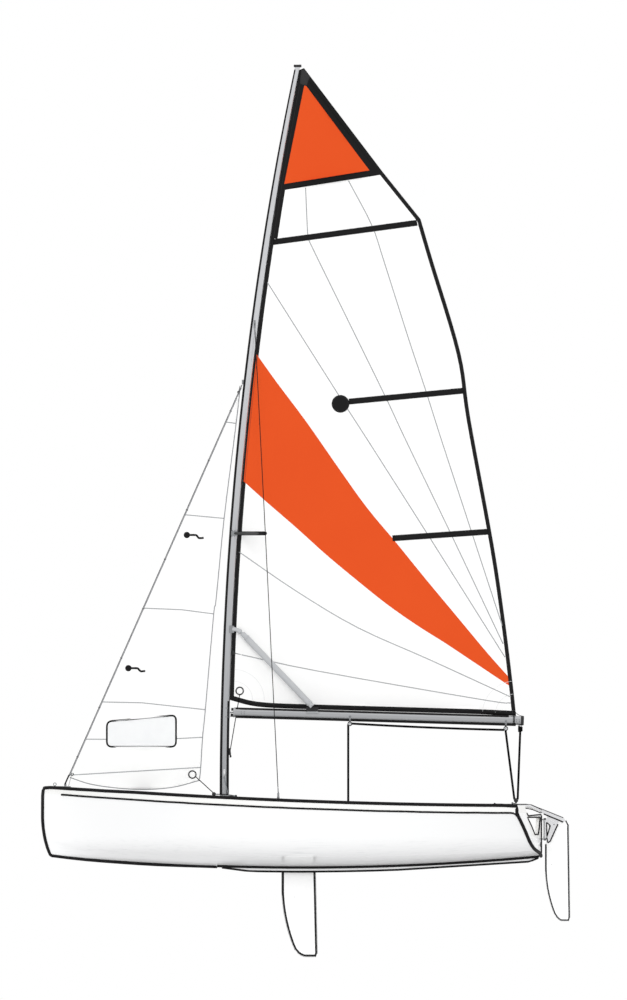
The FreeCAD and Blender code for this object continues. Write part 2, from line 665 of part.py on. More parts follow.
def boom_section(distance):
    r = BOOM_WIDE / 2
    flat = BOOM_HIGH / 2 - r

    def place(a, b):
        return on_boom(distance, a, b)

    return Part.Face(outline(place, (-r, -flat), (-r, flat), ((0.0, flat + r), (r, flat)), (r, -flat),
                             ((0.0, -flat - r), (-r, -flat))))


def round_swing_line(radius, half_long):
    """A round bar centred on the gooseneck, along the swing line."""
    return Part.makeCylinder(radius, 2 * half_long, gooseneck - swing_line * half_long, swing_line)


boom = boom_section(NOSE_R).extrude(along * (BOOM_LONG - END_CAP - NOSE_R))
save("boom", boom)
save("boom_end_cap", boom_section(BOOM_LONG - END_CAP).extrude(along * END_CAP))

NOSE_RUN = 40.0              # the nose is cut from a section this far ahead of the gooseneck
nose = boom_section(-NOSE_RUN).extrude(along * (NOSE_R + NOSE_RUN))
behind_axis = block(fx - 2 * NOSE_R, fx, -NOSE_R, NOSE_R, fz - BOOM_HIGH, fz + BOOM_HIGH)
nose = nose.common(round_swing_line(NOSE_R, 2 * BOOM_HIGH).fuse(behind_axis))
tongue_gap = round_swing_line(2 * NOSE_R, GOOSE_SLOT / 2)
nose = nose.cut(tongue_gap.common(block(fx - 16.0, fx + FAR, -BOOM_WIDE, BOOM_WIDE, LOW, fz + FAR)))
save("boom_nose", nose.cut(round_swing_line(GOOSE_PIN + SEAT, BOOM_HIGH)))

# gooseneck: a bracket on the mast with a tongue and its upright pin
tongue = round_swing_line(NOSE_R - 17.0, GOOSE_SLOT / 2 - 4.0)
arm_half = GOOSE_SLOT / 2 - 5.0
goose_arm = block(fx, mast_aft(fz) + 6.0, -8.0, 8.0, fz - arm_half, fz + arm_half)
back_plate = block(mast_aft(fz) - 4.0, mast_aft(fz) + 12.0, -17.0, 17.0, fz - 50.0, fz + 50.0)
bracket = tongue.fuse(goose_arm).fuse(back_plate).fuse(round_swing_line(GOOSE_PIN, 42.0))
save("gooseneck_bracket", bracket.cut(mast))

# inverted strut that holds the boom down, on the port side of the sail
strut_foot_z = boom_top(STRUT_FOOT_X) + STRUT_FOOT_UP
strut = rod((STRUT_FOOT_X, STRUT_Y, strut_foot_z), (STRUT_TOP[0], STRUT_Y, STRUT_TOP[1]), STRUT_R)
end_plug = rod((STRUT_TOP[0] - 2.0, STRUT_Y, STRUT_TOP[1] - 2.0),
               (STRUT_TOP[0] + 12.0, STRUT_Y, STRUT_TOP[1] + 12.0), 10.0)
save("kicker_strut", strut.fuse(end_plug))
slide = block(STRUT_FOOT_X - 52.0, STRUT_FOOT_X + 52.0, 8.0, 46.0,
              boom_top(STRUT_FOOT_X) - 26.0, strut_foot_z - 6.0)
save("kicker_slide", largest(slide.cut(boom).cut(strut)))
strut_face = mast_aft(STRUT_BRACKET_Z)
kicker_bracket = block(strut_face - 16.0, strut_face + 24.0, 4.0, 38.0,
                       STRUT_BRACKET_Z - 30.0, STRUT_BRACKET_Z + 30.0)
save("kicker_bracket", kicker_bracket.cut(mast))


def sheave_block(x, y, z, radius, thick):
    """A pulley block: a round body with a groove for the rope."""
    groove = Part.makeTorus(radius, 4.5, V(x, y, z), TO_PORT)
    return pin_across(x, z, radius, thick / 2, y).cut(groove)


boom_blocks = []
for distance, drop in BOOM_BLOCKS:
    centre = on_boom(distance, 0.0, -BOOM_HIGH / 2 - drop)
    wheel = sheave_block(centre.x, 0.0, centre.z, BLOCK_R, BLOCK_THICK)
    strap = block(centre.x - 6.0, centre.x + 6.0, -3.0, 3.0, centre.z, centre.z + drop + 10.0)
    boom_blocks.append(wheel.fuse(strap).cut(boom))
save("boom_blocks", *boom_blocks)

# ======== deck fittings ========
base = Part.makeCylinder(44.0, 14.0, V(SWIVEL_X, 0, case_top))
post = Part.makeCylinder(15.0, 36.0, V(SWIVEL_X, 0, case_top + 12.0))
wheel = sheave_block(SWIVEL_X, 0.0, case_top + 68.0, 26.0, 24.0)
cleat_arm = block(SWIVEL_X + 8.0, SWIVEL_X + 104.0, -14.0, 14.0, case_top + 30.0, case_top + 42.0)
jaw = block(SWIVEL_X + 62.0, SWIVEL_X + 100.0, -20.0, 20.0, case_top + 40.0, case_top + 58.0)
save("mainsheet_swivel", base.fuse(post).fuse(wheel).fuse(cleat_arm).fuse(jaw))

lead_x = foot_x + LEAD_AHEAD
lead_z = deck_z(lead_x)
leads = []
for y in (-LEAD_Y, LEAD_Y):
    foot = block(lead_x - 20.0, lead_x + 20.0, y - 14.0, y + 14.0, lead_z - 8.0, lead_z + 10.0)
    leads.append(foot.fuse(sheave_block(lead_x, y, lead_z + 26.0, 17.0, 16.0)).cut(body).cut(step))
save("jib_sheet_blocks", *leads)

cleat_z = deck_z(CLEAT_X)
cleats = []
for y in CLEAT_Y:
    foot = block(CLEAT_X - 26.0, CLEAT_X + 26.0, y - 17.0, y + 17.0, cleat_z - 8.0, cleat_z + 7.0)
    jaws = block(CLEAT_X - 16.0, CLEAT_X + 16.0, y - 14.0, y + 14.0, cleat_z + 6.0, cleat_z + 22.0)
    throat = block(CLEAT_X - 30.0, CLEAT_X + 30.0, y - 3.5, y + 3.5, cleat_z + 9.0, cleat_z + 40.0)
    cleats.append(foot.fuse(jaws).cut(throat).cut(body))
save("control_cleats", *cleats)

hatch_base = deck_z(HATCH_X) - 30.0
hatch_rise = 30.0 + HATCH_PROUD
hatch = Part.makeCylinder(HATCH_R, hatch_rise + 2.0, V(HATCH_X, 0, hatch_base))
save("foredeck_hatch", largest(hatch.cut(body)))

strap_z = SOLE_Z + STRAP_UP
straps = []
for y in (STRAP_Y, -STRAP_Y):
    sides = (y - STRAP_WIDE / 2, y + STRAP_WIDE / 2)
    strap = block(*STRAP_ENDS, *sides, strap_z, strap_z + STRAP_THICK)
    for x in (STRAP_ENDS[0], STRAP_ENDS[1] - 20.0):
        strap = strap.fuse(block(x, x + 20.0, *sides, SOLE_Z + SEAT, strap_z + 2.0))
    straps.append(strap)
save("toe_straps", *straps)

# ======== rudder ========
low_z = GUDGEON_Z[0] + GUDGEON_THICK / 2
high_z = GUDGEON_Z[1] - GUDGEON_THICK / 2
gudgeons = []
for z in GUDGEON_Z:
    half = GUDGEON_THICK / 2
    pad = block(TRANSOM_X - 8.0, TRANSOM_X + 20.0, -26.0, 26.0, z - 24.0, z + 24.0).cut(body)
    pad = min(pad.Solids, key=lambda solid: solid.CenterOfMass.x)
    lug = Part.makeCylinder(GUDGEON_R, GUDGEON_THICK, V(RUDDER_X, 0, z - half))
    neck = block(RUDDER_X, TRANSOM_X - 4.0, -8.0, 8.0, z - half, z + half)
    bore = Part.makeCylinder(PINTLE_R + SEAT, 60.0, V(RUDDER_X, 0, z - 30.0))
    gudgeons.append(pad.fuse(neck).fuse(lug).cut(bore))
save("rudder_gudgeons", *gudgeons)


def aft(distance):
    return RUDDER_X - distance


pivot_x = aft(PIVOT_AFT)
inner_y = BLADE_THICK / 2 + CHEEK_GAP
outer_y = inner_y + CHEEK_THICK
tube_r = inner_y + 0.5       # the stock's tube is as wide as the space between its cheeks
tube = Part.makeCylinder(tube_r, high_z - low_z - 2 * SEAT, V(RUDDER_X, 0, low_z + SEAT))
cheek = plate(outline(side_view, (aft(2.0), high_z - 3.0), (aft(17.0), high_z + 4.0),
                      (aft(17.0), high_z + 60.0), (aft(117.0), PIVOT_Z + 58.0), (aft(109.0), PIVOT_Z - 2.0),
                      (aft(44.0), low_z - 26.0), (aft(25.0), low_z - 36.0), (aft(17.0), low_z + 3.0),
                      (aft(2.0), low_z + 3.0)), inner_y, outer_y)
window = plate(outline(side_view, (aft(15.0), PIVOT_Z + 18.0), (aft(46.0), PIVOT_Z - 9.0),
                       (aft(18.0), low_z + 15.0)), 0.0, outer_y + 1.0)
cheek = cheek.cut(window).cut(pin_across(pivot_x, PIVOT_Z, BOLT_R, 2 * outer_y))
bore = Part.makeCylinder(PINTLE_R, high_z, V(RUDDER_X, 0, 0))
save("rudder_stock", tube.fuse(cheek).fuse(mirrored(cheek)).cut(bore))
pintle_over = GUDGEON_THICK + 8.0
save("rudder_pintle", Part.makeCylinder(PINTLE_R, high_z - low_z + 2 * pintle_over,
                                        V(RUDDER_X, 0, low_z - pintle_over)))

blade_front = aft(3.0)
blade_side = plate(outline(side_view, (aft(136.0), BLADE_TIP_Z), (aft(214.0), BLADE_TIP_Z),
                           (aft(202.0), PIVOT_Z - 10.0),
                           ((aft(193.0), PIVOT_Z + 27.0), (aft(161.0), PIVOT_Z + 47.0)),
                           (pivot_x, PIVOT_Z + 48.0),
                           ((pivot_x + 34.0, PIVOT_Z + 34.0), (pivot_x + 48.0, PIVOT_Z)),
                           (pivot_x + 50.0, 118.0), (blade_front, 62.0), (blade_front, -134.0),
                           ((aft(21.0), -330.0), (aft(71.0), -512.0)),
                           ((aft(98.0), -562.0), (aft(136.0), BLADE_TIP_Z))), -BLADE_THICK, BLADE_THICK)
blade = blade_side.common(foil(blade_front, aft(105.0), aft(217.0), BLADE_THICK, 2 * LOW, HIGH))
save("rudder_blade", blade.cut(pin_across(pivot_x, PIVOT_Z, BOLT_R + SEAT, BLADE_THICK)))
save("blade_bolt", pin_across(pivot_x, PIVOT_Z, BOLT_R, outer_y))

# tiller: a straight tube, bent down aft to a fork whose straps grip the stock's cheeks
drop = math.radians(TILLER_DROP)
bend_x = RUDDER_X + BEND_AHEAD
bend = (bend_x, 0.0, TILLER_Z)
front_x = RUDDER_X + TILLER_REACH
sleeve_x = RUDDER_X + 25.0
fork_x = aft(FORK_AFT)
tiller_half = TILLER_R / math.cos(drop)


def tiller_line(x):
    """Height of the tiller's middle."""
    return TILLER_Z - max(0.0, bend_x - x) * math.tan(drop)


tiller = rod((front_x, 0.0, TILLER_Z), bend, TILLER_R).fuse(Part.makeSphere(TILLER_R, V(*bend)))
tiller = tiller.fuse(rod(bend, (sleeve_x - 8.0, 0.0, tiller_line(sleeve_x - 8.0)), TILLER_R))
strap_y = outer_y + SEAT
fork = plate(outline(side_view, (sleeve_x, tiller_line(sleeve_x) - tiller_half),
                     (sleeve_x, tiller_line(sleeve_x) + tiller_half),
                     (fork_x, tiller_line(fork_x) + tiller_half),
                     ((fork_x - 10.0, tiller_line(fork_x) + 2.0),
                      (fork_x + 4.0, tiller_line(fork_x) - tiller_half))),
             -strap_y - STRAP_WALL, strap_y + STRAP_WALL)
fork = fork.cut(block(fork_x - 60.0, sleeve_x - 26.0, -strap_y, strap_y, 0.0, HIGH))
save("tiller", tiller.fuse(fork))
grip_y = -TILLER_R - GRIP_R - SEAT
grip_x = front_x - 20.0
save("tiller_extension", rod((grip_x, grip_y, TILLER_Z), (grip_x - GRIP_LONG, grip_y, TILLER_Z), GRIP_R))
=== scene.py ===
import math

import bpy
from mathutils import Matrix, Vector
from mathutils.geometry import delaunay_2d_cdt


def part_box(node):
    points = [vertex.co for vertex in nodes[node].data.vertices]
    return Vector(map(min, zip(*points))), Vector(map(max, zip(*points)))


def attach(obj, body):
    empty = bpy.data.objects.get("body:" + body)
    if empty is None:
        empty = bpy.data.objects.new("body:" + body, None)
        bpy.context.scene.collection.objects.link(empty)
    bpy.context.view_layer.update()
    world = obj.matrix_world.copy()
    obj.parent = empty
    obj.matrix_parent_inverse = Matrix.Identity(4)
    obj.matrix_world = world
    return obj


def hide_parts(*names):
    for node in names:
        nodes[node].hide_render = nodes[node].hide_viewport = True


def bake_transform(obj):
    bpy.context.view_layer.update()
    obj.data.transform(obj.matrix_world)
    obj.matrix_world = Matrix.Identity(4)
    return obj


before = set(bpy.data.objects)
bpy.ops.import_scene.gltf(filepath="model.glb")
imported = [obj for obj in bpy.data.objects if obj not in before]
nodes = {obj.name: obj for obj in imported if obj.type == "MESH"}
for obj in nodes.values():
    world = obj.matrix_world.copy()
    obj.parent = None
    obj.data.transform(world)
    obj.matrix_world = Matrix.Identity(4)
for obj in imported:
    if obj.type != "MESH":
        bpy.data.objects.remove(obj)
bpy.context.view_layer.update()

# A two-sail training dinghy, afloat with its sails set. Lengths are metres: +X is the bow, +Y port,
# +Z up, and the water's surface is at Z 0. Sections follow the order in which the boat is put together.

# ---- camera ----
# A plain side elevation from the port side, as on a sail plan, with the waterline level.
VIEW_CENTRE = (-0.1785, 2.9835)      # X and Z at the middle of the view
VIEW_HIGH = 8.5
VIEW_AWAY = 20.0

camera_data = bpy.data.cameras.new("side_elevation")
camera_data.type = "ORTHO"
camera_data.ortho_scale = VIEW_HIGH
camera = bpy.data.objects.new("side_elevation", camera_data)
camera.location = (VIEW_CENTRE[0], VIEW_AWAY, VIEW_CENTRE[1])
camera.rotation_euler = (math.pi / 2, 0, math.pi)
bpy.context.collection.objects.link(camera)
bpy.context.scene.camera = camera
bpy.context.scene.view_settings.view_transform = "Standard"

# ---- studio ----
# A white cyclorama: the backdrop reads as plain white, while the room that lights the boat is soft grey,
# brighter overhead. A wide sun stands in for a bank of diffused lamps high on the camera's side.


def linear(code):
    """An sRGB hex colour as linear red, green, blue and alpha."""
    parts = [int(code[i:i + 2], 16) / 255 for i in (1, 3, 5)]
    return tuple(p / 12.92 if p <= 0.04045 else ((p + 0.055) / 1.055) ** 2.4 for p in parts) + (1.0,)


def feed(node, values):
    """Sets a node's inputs, each to a number, a hex colour, an output, or another node's main output."""
    for name, value in values.items():
        if isinstance(value, bpy.types.Node):
            value = value.outputs.get("Fac") or value.outputs.get("Object") or value.outputs[0]
        if isinstance(value, bpy.types.NodeSocket):
            node.id_data.links.new(value, node.inputs[name])
        else:
            node.inputs[name].default_value = linear(value) if isinstance(value, str) else value
    return node


def add(tree, kind, values, **settings):
    """Adds a node with its settings and its inputs."""
    node = tree.nodes.new("ShaderNode" + kind)
    for name, value in settings.items():
        setattr(node, name, value)
    return feed(node, values)


ROOM_OVERHEAD = 0.90
ROOM_BELOW = 0.80
world = bpy.data.worlds.new("studio")
world.use_nodes = True
bpy.context.scene.world = world
room = world.node_tree
room.nodes.clear()
direction = add(room, "TexCoord", {})
height = add(room, "SeparateXYZ", {"Vector": direction.outputs["Generated"]})
brightness = add(room, "MapRange", {"Value": height.outputs["Z"], "From Min": -0.9, "From Max": 0.0,
                                    "To Min": ROOM_BELOW, "To Max": ROOM_OVERHEAD})
walls = add(room, "Background", {"Color": "#F8F8F9", "Strength": brightness})
backdrop = add(room, "Background", {"Color": (1.0, 1.0, 1.0, 1.0), "Strength": 1.0})
seen = add(room, "LightPath", {})
both = add(room, "MixShader", {0: seen.outputs["Is Camera Ray"], 1: walls, 2: backdrop})
add(room, "OutputWorld", {"Surface": both})

# name, where the light comes from, strength, softness in degrees
LAMPS = (("lamp_bank", (-0.02, 1.0, 0.25), 0.93, 32.0), ("far_fill", (-0.7, -1.0, 0.6), 0.50, 50.0))
for name, source, strength, softness in LAMPS:
    lamp = bpy.data.lights.new(name, "SUN")
    lamp.energy = strength
    lamp.angle = math.radians(softness)
    holder = bpy.data.objects.new(name, lamp)
    holder.visible_glossy = False    # polished metal mirrors the soft room alone
    holder.rotation_euler = Vector(source).to_track_quat("Z", "Y").to_euler()
    bpy.context.collection.objects.link(holder)


slot_of = {}                 # the slot given with each material, by the material's name


def finish(name, slot=None, **sockets):
    """A new material, its tree, its shader with the sockets that don't vary, and its coordinates."""
    made = bpy.data.materials.new(name)
    made.use_nodes = True
    slot_of[made.name] = slot
    tree = made.node_tree
    shader = tree.nodes["Principled BSDF"]
    for socket, value in sockets.items():
        shader.inputs[socket.replace("_", " ")].default_value = value
    return made, tree, shader, add(tree, "TexCoord", {})


def joined(shapes):
    """Several shapes as one."""
    points, faces, corners = [], [], []
    for verts, polygons, uvs in shapes:
        offset = len(points)
        points += verts
        faces += [tuple(i + offset for i in face) for face in polygons]
        corners += uvs if uvs is not None else [(0.0, 0.0)] * sum(len(face) for face in polygons)
    return points, faces, corners


def piece(name, shape, material, body="boat", slot=None, smooth=True, regions=None):
    """A named mesh on one of the boat's bodies, in one material or a list of them.

    shape is its points, its faces and, or None, their corners' UVs; a list of shapes becomes one.
    """
    points, faces, corners = joined(shape) if isinstance(shape, list) else shape
    materials = material if isinstance(material, list) else [material]
    mesh = bpy.data.meshes.new(name)
    mesh.from_pydata([tuple(p) for p in points], [], faces)
    for each in materials:
        mesh.materials.append(each)
    if regions is not None:
        mesh.polygons.foreach_set("material_index", regions)
    if corners is not None:
        layer = mesh.uv_layers.new(name="along")
        layer.data.foreach_set("uv", [value for corner in corners for value in corner])
    mesh.polygons.foreach_set("use_smooth", [smooth] * len(faces))
    mesh.validate()
    mesh.update()
    thing = bpy.data.objects.new(name, mesh)
    bpy.context.collection.objects.link(thing)
    if body is not None:
        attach(thing, body)
    slot = slot or slot_of[materials[0].name]
    return thing


# The floor is painted board, level with the water, and it fades into the backdrop far from the boat.
FLOOR_HALF = 40.0
FADE_START, FADE_END = 6.0, 16.0
paint, tree, shader, place = finish("painted_board", Roughness=0.6)
away = add(tree, "VectorMath", {0: place}, operation="LENGTH")
shown = add(tree, "MapRange", {"Value": away.outputs["Value"], "From Min": FADE_START, "From Max": FADE_END,
                               "To Min": 1.0, "To Max": 0.0}, interpolation_type="SMOOTHSTEP")
mottle = add(tree, "TexNoise", {"Vector": place, "Scale": 1.5, "Detail": 4.0})
tone = add(tree, "MixRGB", {"Fac": mottle, "Color1": "#E4E5E6", "Color2": "#EAEBEB"})
feed(shader, {"Base Color": tone})
backdrop = add(tree, "Emission", {"Color": (1.0, 1.0, 1.0, 1.0), "Strength": 1.0})
blend = add(tree, "MixShader", {0: shown, 1: backdrop, 2: shader})
feed(tree.nodes["Material Output"], {"Surface": blend})
floor_points = [(x * FLOOR_HALF, y * FLOOR_HALF, 0.0) for x, y in ((-1, -1), (1, -1), (1, 1), (-1, 1))]
floor = piece("floor", (floor_points, [(0, 1, 2, 3)], None), [paint], None)
floor.visible_shadow = floor.visible_diffuse = floor.visible_glossy = False

# ======== hull ========
# A moulded hull in white gelcoat: a thin polyester skin, glossy and very slightly rippled from its mould,
# with faint grey rubs along the bottom where it has been drawn up on slipways.
gelcoat, tree, shader, place = finish("white_gelcoat", IOR=1.52, Coat_Weight=0.35, Coat_Roughness=0.24)
stretched = add(tree, "Mapping", {"Vector": place, "Scale": (1.2, 9.0, 22.0)})
rubs = add(tree, "TexNoise", {"Vector": stretched, "Scale": 3.0, "Detail": 6.0, "Roughness": 0.7})
position = add(tree, "SeparateXYZ", {"Vector": place})
low_down = add(tree, "MapRange", {"Value": position.outputs["Z"], "From Min": 0.16, "From Max": -0.1})
rubbed = add(tree, "MapRange", {"Value": rubs, "From Min": 0.52, "From Max": 0.75})
where = add(tree, "Math", {0: low_down, 1: rubbed}, operation="MULTIPLY")
clouds = add(tree, "TexNoise", {"Vector": place, "Scale": 1.3, "Detail": 2.0})
white = add(tree, "MixRGB", {"Fac": clouds, "Color1": "#FCFDFD", "Color2": "#FFFFFE"})
worn = add(tree, "MixRGB", {"Fac": where, "Color1": white, "Color2": "#E3E5E6"})
gloss = add(tree, "MapRange", {"Value": rubs, "To Min": 0.14, "To Max": 0.32})
ripple = add(tree, "TexNoise", {"Vector": place, "Scale": 7.0, "Detail": 3.0})
bump = add(tree, "Bump", {"Height": ripple, "Strength": 0.12, "Distance": 0.002})
feed(shader, {"Base Color": worn, "Roughness": gloss, "Normal": bump})


def coat(material, *names):
    """Gives carried-over nodes their finish."""
    for name in names:
        mesh = nodes[name].data
        mesh.materials.clear()
        mesh.materials.append(material)


coat(gelcoat, "hull")


def mottled(name, slot, tones, mottle, gloss=None, grain=None, **sockets):
    """A finish mottled between two tones by a noise of this scale and detail.

    gloss spans its roughness, and grain is a fine bump's scale, detail, strength and depth.
    """
    made, tree, shader, place = finish(name, slot, **sockets)
    noise = add(tree, "TexNoise", {"Vector": place, "Scale": mottle[0], "Detail": mottle[1]})
    feed(shader, {"Base Color": add(tree, "MixRGB", {"Fac": noise, "Color1": tones[0], "Color2": tones[1]})})
    if gloss:
        feed(shader, {"Roughness": add(tree, "MapRange",
                                       {"Value": noise, "To Min": gloss[0], "To Max": gloss[1]})})
    if grain:
        fine = add(tree, "TexNoise", {"Vector": place, "Scale": grain[0], "Detail": grain[1]})
        feed(shader, {"Normal": add(tree, "Bump",
                                    {"Height": fine, "Strength": grain[2], "Distance": grain[3]})})
    return made


# Black synthetic rubber, extruded and glued on: matt, with a fine grain and a grey bloom on its ridges.
rubber = mottled("black_rubber", "black_rubber", ("#131213", "#1F1E1F"), (14.0, 5.0), gloss=(0.5, 0.75),
                 grain=(420.0, 2.0, 0.3, 0.0004), Specular_IOR_Level=0.12)

# The keel band is a thick white wear strip, scratched lengthwise.
strip, tree, shader, place = finish("white_wear_strip", Roughness=0.55)
stretched = add(tree, "Mapping", {"Vector": place, "Scale": (1.0, 30.0, 60.0)})
scratches = add(tree, "TexNoise", {"Vector": stretched, "Scale": 5.0, "Detail": 8.0, "Roughness": 0.8})
tone = add(tree, "MixRGB", {"Fac": scratches, "Color1": "#EDEEEE", "Color2": "#F9F9F9"})
bump = add(tree, "Bump", {"Height": scratches, "Strength": 0.4, "Distance": 0.0008})
feed(shader, {"Base Color": tone, "Normal": bump})
coat(strip, "keel_band")


def hit(names, start, towards):
    """The first point of the named nodes that a straight line meets, and the surface's direction there."""
    best = None
    for name in names:
        found, where, normal, _ = nodes[name].ray_cast(Vector(start), Vector(towards).normalized())
        if found and (best is None or (where - Vector(start)).length < best[0]):
            best = ((where - Vector(start)).length, where, normal)
    return best[1], best[2]


def angles(count):
    return [2 * math.pi * k / count for k in range(count)]


def lofted(rows, closed=False, ends=True, inside_out=False):
    """The skin over rows of points, each a loop. closed joins the last row to the first; ends caps them."""
    count, around = len(rows), len(rows[0])
    faces = []
    for i in range(count if closed else count - 1):
        here, there = i * around, (i + 1) % count * around
        for k in range(around):
            m = (k + 1) % around
            faces.append((here + k, here + m, there + m, there + k))
    if ends and not closed:
        faces += [tuple(reversed(range(around))), tuple(range((count - 1) * around, count * around))]
    if inside_out:
        faces = [tuple(reversed(face)) for face in faces]
    return [point for row in rows for point in row], faces, None


def tube(points, radius, sides=10, closed=False):
    """A round bar bent through points, with its ends capped. UVs run along it in metres."""
    points = [Vector(p) for p in points]
    count = len(points)
    sizes = radius if isinstance(radius, (list, tuple)) else [radius] * count
    along = 0.0
    rings, lengths = [], []
    side = None
    for i, p in enumerate(points):
        before = points[i - 1] if i or closed else p
        after = points[(i + 1) % count] if i < count - 1 or closed else p
        run = (after - before).normalized()
        if side is None:
            side = run.orthogonal().normalized()
        side = (side - run * side.dot(run)).normalized()
        up = run.cross(side)
        if i:
            along += (p - points[i - 1]).length
        lengths.append(along)
        rings.append([p + (side * math.cos(a) + up * math.sin(a)) * sizes[i] for a in angles(sides)])
    verts, faces, _ = lofted(rings, closed)
    if closed:
        lengths.append(along + (points[0] - points[-1]).length)
    corners = []
    for here, there in zip(lengths, lengths[1:]):
        for k in range(sides):
            near, far = k / sides, (k + 1) / sides
            corners += [(here, near), (here, far), (there, far), (there, near)]
    return verts, faces, corners if closed else corners + [(0.0, 0.0)] * (2 * sides)


# Gunwale moulding: a black bead round the deck's outer edge and down the transom's corners.
BEAD = 0.0150
BEAD_SUNK = 0.0055           # how far its middle lies inside the moulding's surface
TRANSOM_ROUND = 1.5206       # radius of the transom seen from above
transom_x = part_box("deck")[0].x


def deck_height(x, y=0.0):
    """Height of the deck's flat top, from a line dropped beside the fittings."""
    return hit(["deck"], (x, y, 2.0), (0, 0, -1))[0].z


def edge_of_deck(x, y, outwards):
    """The deck's outer edge, on a level line inwards from far outside."""
    outwards = Vector(outwards)
    height_here = deck_height(x, y)
    for _ in range(3):
        away = Vector((x, y, height_here - 0.012)) + outwards * 1.5
        found, _ = hit(["deck"], away, -outwards)
        inside = found - outwards * 0.03
        height_here = deck_height(inside.x, inside.y)
    return Vector((found.x, found.y, height_here))


def transom_x_at(y):
    return transom_x + TRANSOM_ROUND - math.sqrt(TRANSOM_ROUND ** 2 - y ** 2)


def transom_edge(z):
    """The corner of side and transom on the port side at a height."""
    y = 0.7
    for _ in range(6):
        x = transom_x_at(y)
        y = hit(["hull", "deck"], (x + 0.006, 1.3, z), (0, -1, 0))[0].y
    return Vector((x, y, z))


def transom_foot(y):
    """The corner of bottom and transom at a distance from the centreline."""
    x = transom_x_at(y)
    return Vector((x, y, hit(["hull"], (x + 0.006, y, -1.0), (0, 0, 1))[0].z))


PORT = Vector((0.0, 1.0, 0.0))


def across(points):
    """The same points on the other side of the centreline."""
    return [Vector((p[0], -p[1], p[2])) for p in points]


def level(x, column, rows):
    """A value between the rows of a table ordered from the bow aft."""
    for a, b in zip(rows, rows[1:]):
        if x > b[0]:
            return a[column] + (b[column] - a[column]) * (x - a[0]) / (b[0] - a[0])
    return rows[-1][column]


edge = [edge_of_deck(1.6, 0.0, (math.cos(math.radians(a)), math.sin(math.radians(a)), 0.0))
        for a in (0, 1, 2, 3, 5, 8, 12, 17, 23, 30, 38, 47, 57)]
x = edge[-1].x - 0.07
corner = transom_edge(0.3)
while x > corner.x + 0.05:
    edge.append(edge_of_deck(x, min(0.7, edge[-1].y - 0.12), PORT))
    x -= 0.13
corner_z = edge[-1].z
sides = [transom_edge(corner_z - 0.03 - i * 0.03) for i in range(10)]
bottom = [transom_foot(sides[-1].y - 0.05 - i * 0.07) for i in range(8)]
start = transom_edge(corner_z - 0.006)
# Height of the bead's middle over the deck's edge, by distance along the hull: it dips round the stem.
BEAD_SITS = ((2.14, -0.0260), (2.11, -0.0150), (2.07, -0.0090), (2.02, -0.0070), (1.60, -0.0050),
             (1.36, 0.0004), (-3.0, 0.0004))
rim = [Vector((p.x, p.y, p.z + level(p.x, 1, BEAD_SITS))) for p in edge] + [start] + sides + bottom
BOW_CENTRE = 1.2             # the bow's outline is rounded about a point this far forward
inward = [Vector((BOW_CENTRE, 0.0, 0.0)) - Vector((p.x, p.y, 0.0)) if p.x > BOW_CENTRE else -PORT
          for p in rim]
rim = [p + d.normalized() * BEAD_SUNK for p, d in zip(rim, inward)]
path = across(list(reversed(rim))) + rim[1:]
piece("gunwale_bead", tube(path, BEAD), rubber)

# Rubbing bead: half-round black rubber along the seam on each side, turned down at its aft end.
RUB_BEAD = 0.0086
STRAIGHT_END = -1.855
strip_low, strip_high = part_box("rubbing_strip")


def seam_height(x):
    """The height of the seam's moulded strip at a distance along the hull."""
    struck = []
    for k in range(int((strip_high.z - strip_low.z) / 0.002)):
        try:
            struck.append(hit(["rubbing_strip"], (x, 1.5, strip_low.z + 0.002 * k), -PORT)[0].z)
        except TypeError:
            pass
    return sum(struck) / len(struck)


xs = [strip_high.x - 0.012] + [strip_high.x - 0.06 - 0.12 * k for k in range(32)]
xs = [x for x in xs if x > STRAIGHT_END + 0.03] + [STRAIGHT_END]
run = [(x, seam_height(x)) for x in xs]
TURNED_DOWN = ((0.020, 0.003), (0.036, 0.009), (0.047, 0.018), (0.053, 0.027))     # aft of the straight part
run += [(STRAIGHT_END - aft, run[-1][1] - down) for aft, down in TURNED_DOWN]
line = [hit(["hull", "deck"], (x, 1.5, z), -PORT)[0] for x, z in run]
rubbing_bead = piece("rubbing_bead", [tube(line, RUB_BEAD), tube(across(line), RUB_BEAD)], rubber)
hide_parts("rubbing_strip")

# Bow guard: a moulded black strip bonded round the stem, which takes knocks from quays and other boats.
# Its height, its thickness ahead of the stem and how far back it reaches on each side; it thickens low down.
GUARD = ((0.60, 0.0035, 0.0235), (0.52, 0.0035, 0.0235), (0.47, 0.0090, 0.0185), (0.24, 0.0100, 0.0178),
         (0.17, 0.0115, 0.0162), (0.09, 0.0150, 0.0138), (-0.03, 0.0190, 0.0090))
GUARD_SIDE = 0.0055          # its thickness at the sides
outer, inner = [], []
for k in range(29):
    z = edge[0].z - 0.014 - (edge[0].z + 0.011) * k / 28
    face, ahead = hit(["hull", "deck"], (3.0, 0.0003, z), (-1, 0, 0))
    port_side = []
    for share in (0.12, 0.35, 0.65, 1.0):
        back = face.x - level(z, 2, GUARD) * share
        port_side.append(hit(["hull", "deck"], (back, 1.0, z), (0, -1, 0)))
    starboard = [(Vector((p.x, -p.y, p.z)), Vector((n.x, -n.y, n.z))) for p, n in reversed(port_side)]
    for p, n in starboard + [(face, ahead)] + port_side:
        outer.append(p + Vector((n.x * level(z, 1, GUARD), n.y * GUARD_SIDE, n.z * GUARD_SIDE)))
        inner.append(p - n * 0.002)
wide, count = 9, len(outer)
rows = count // wide
faces = []
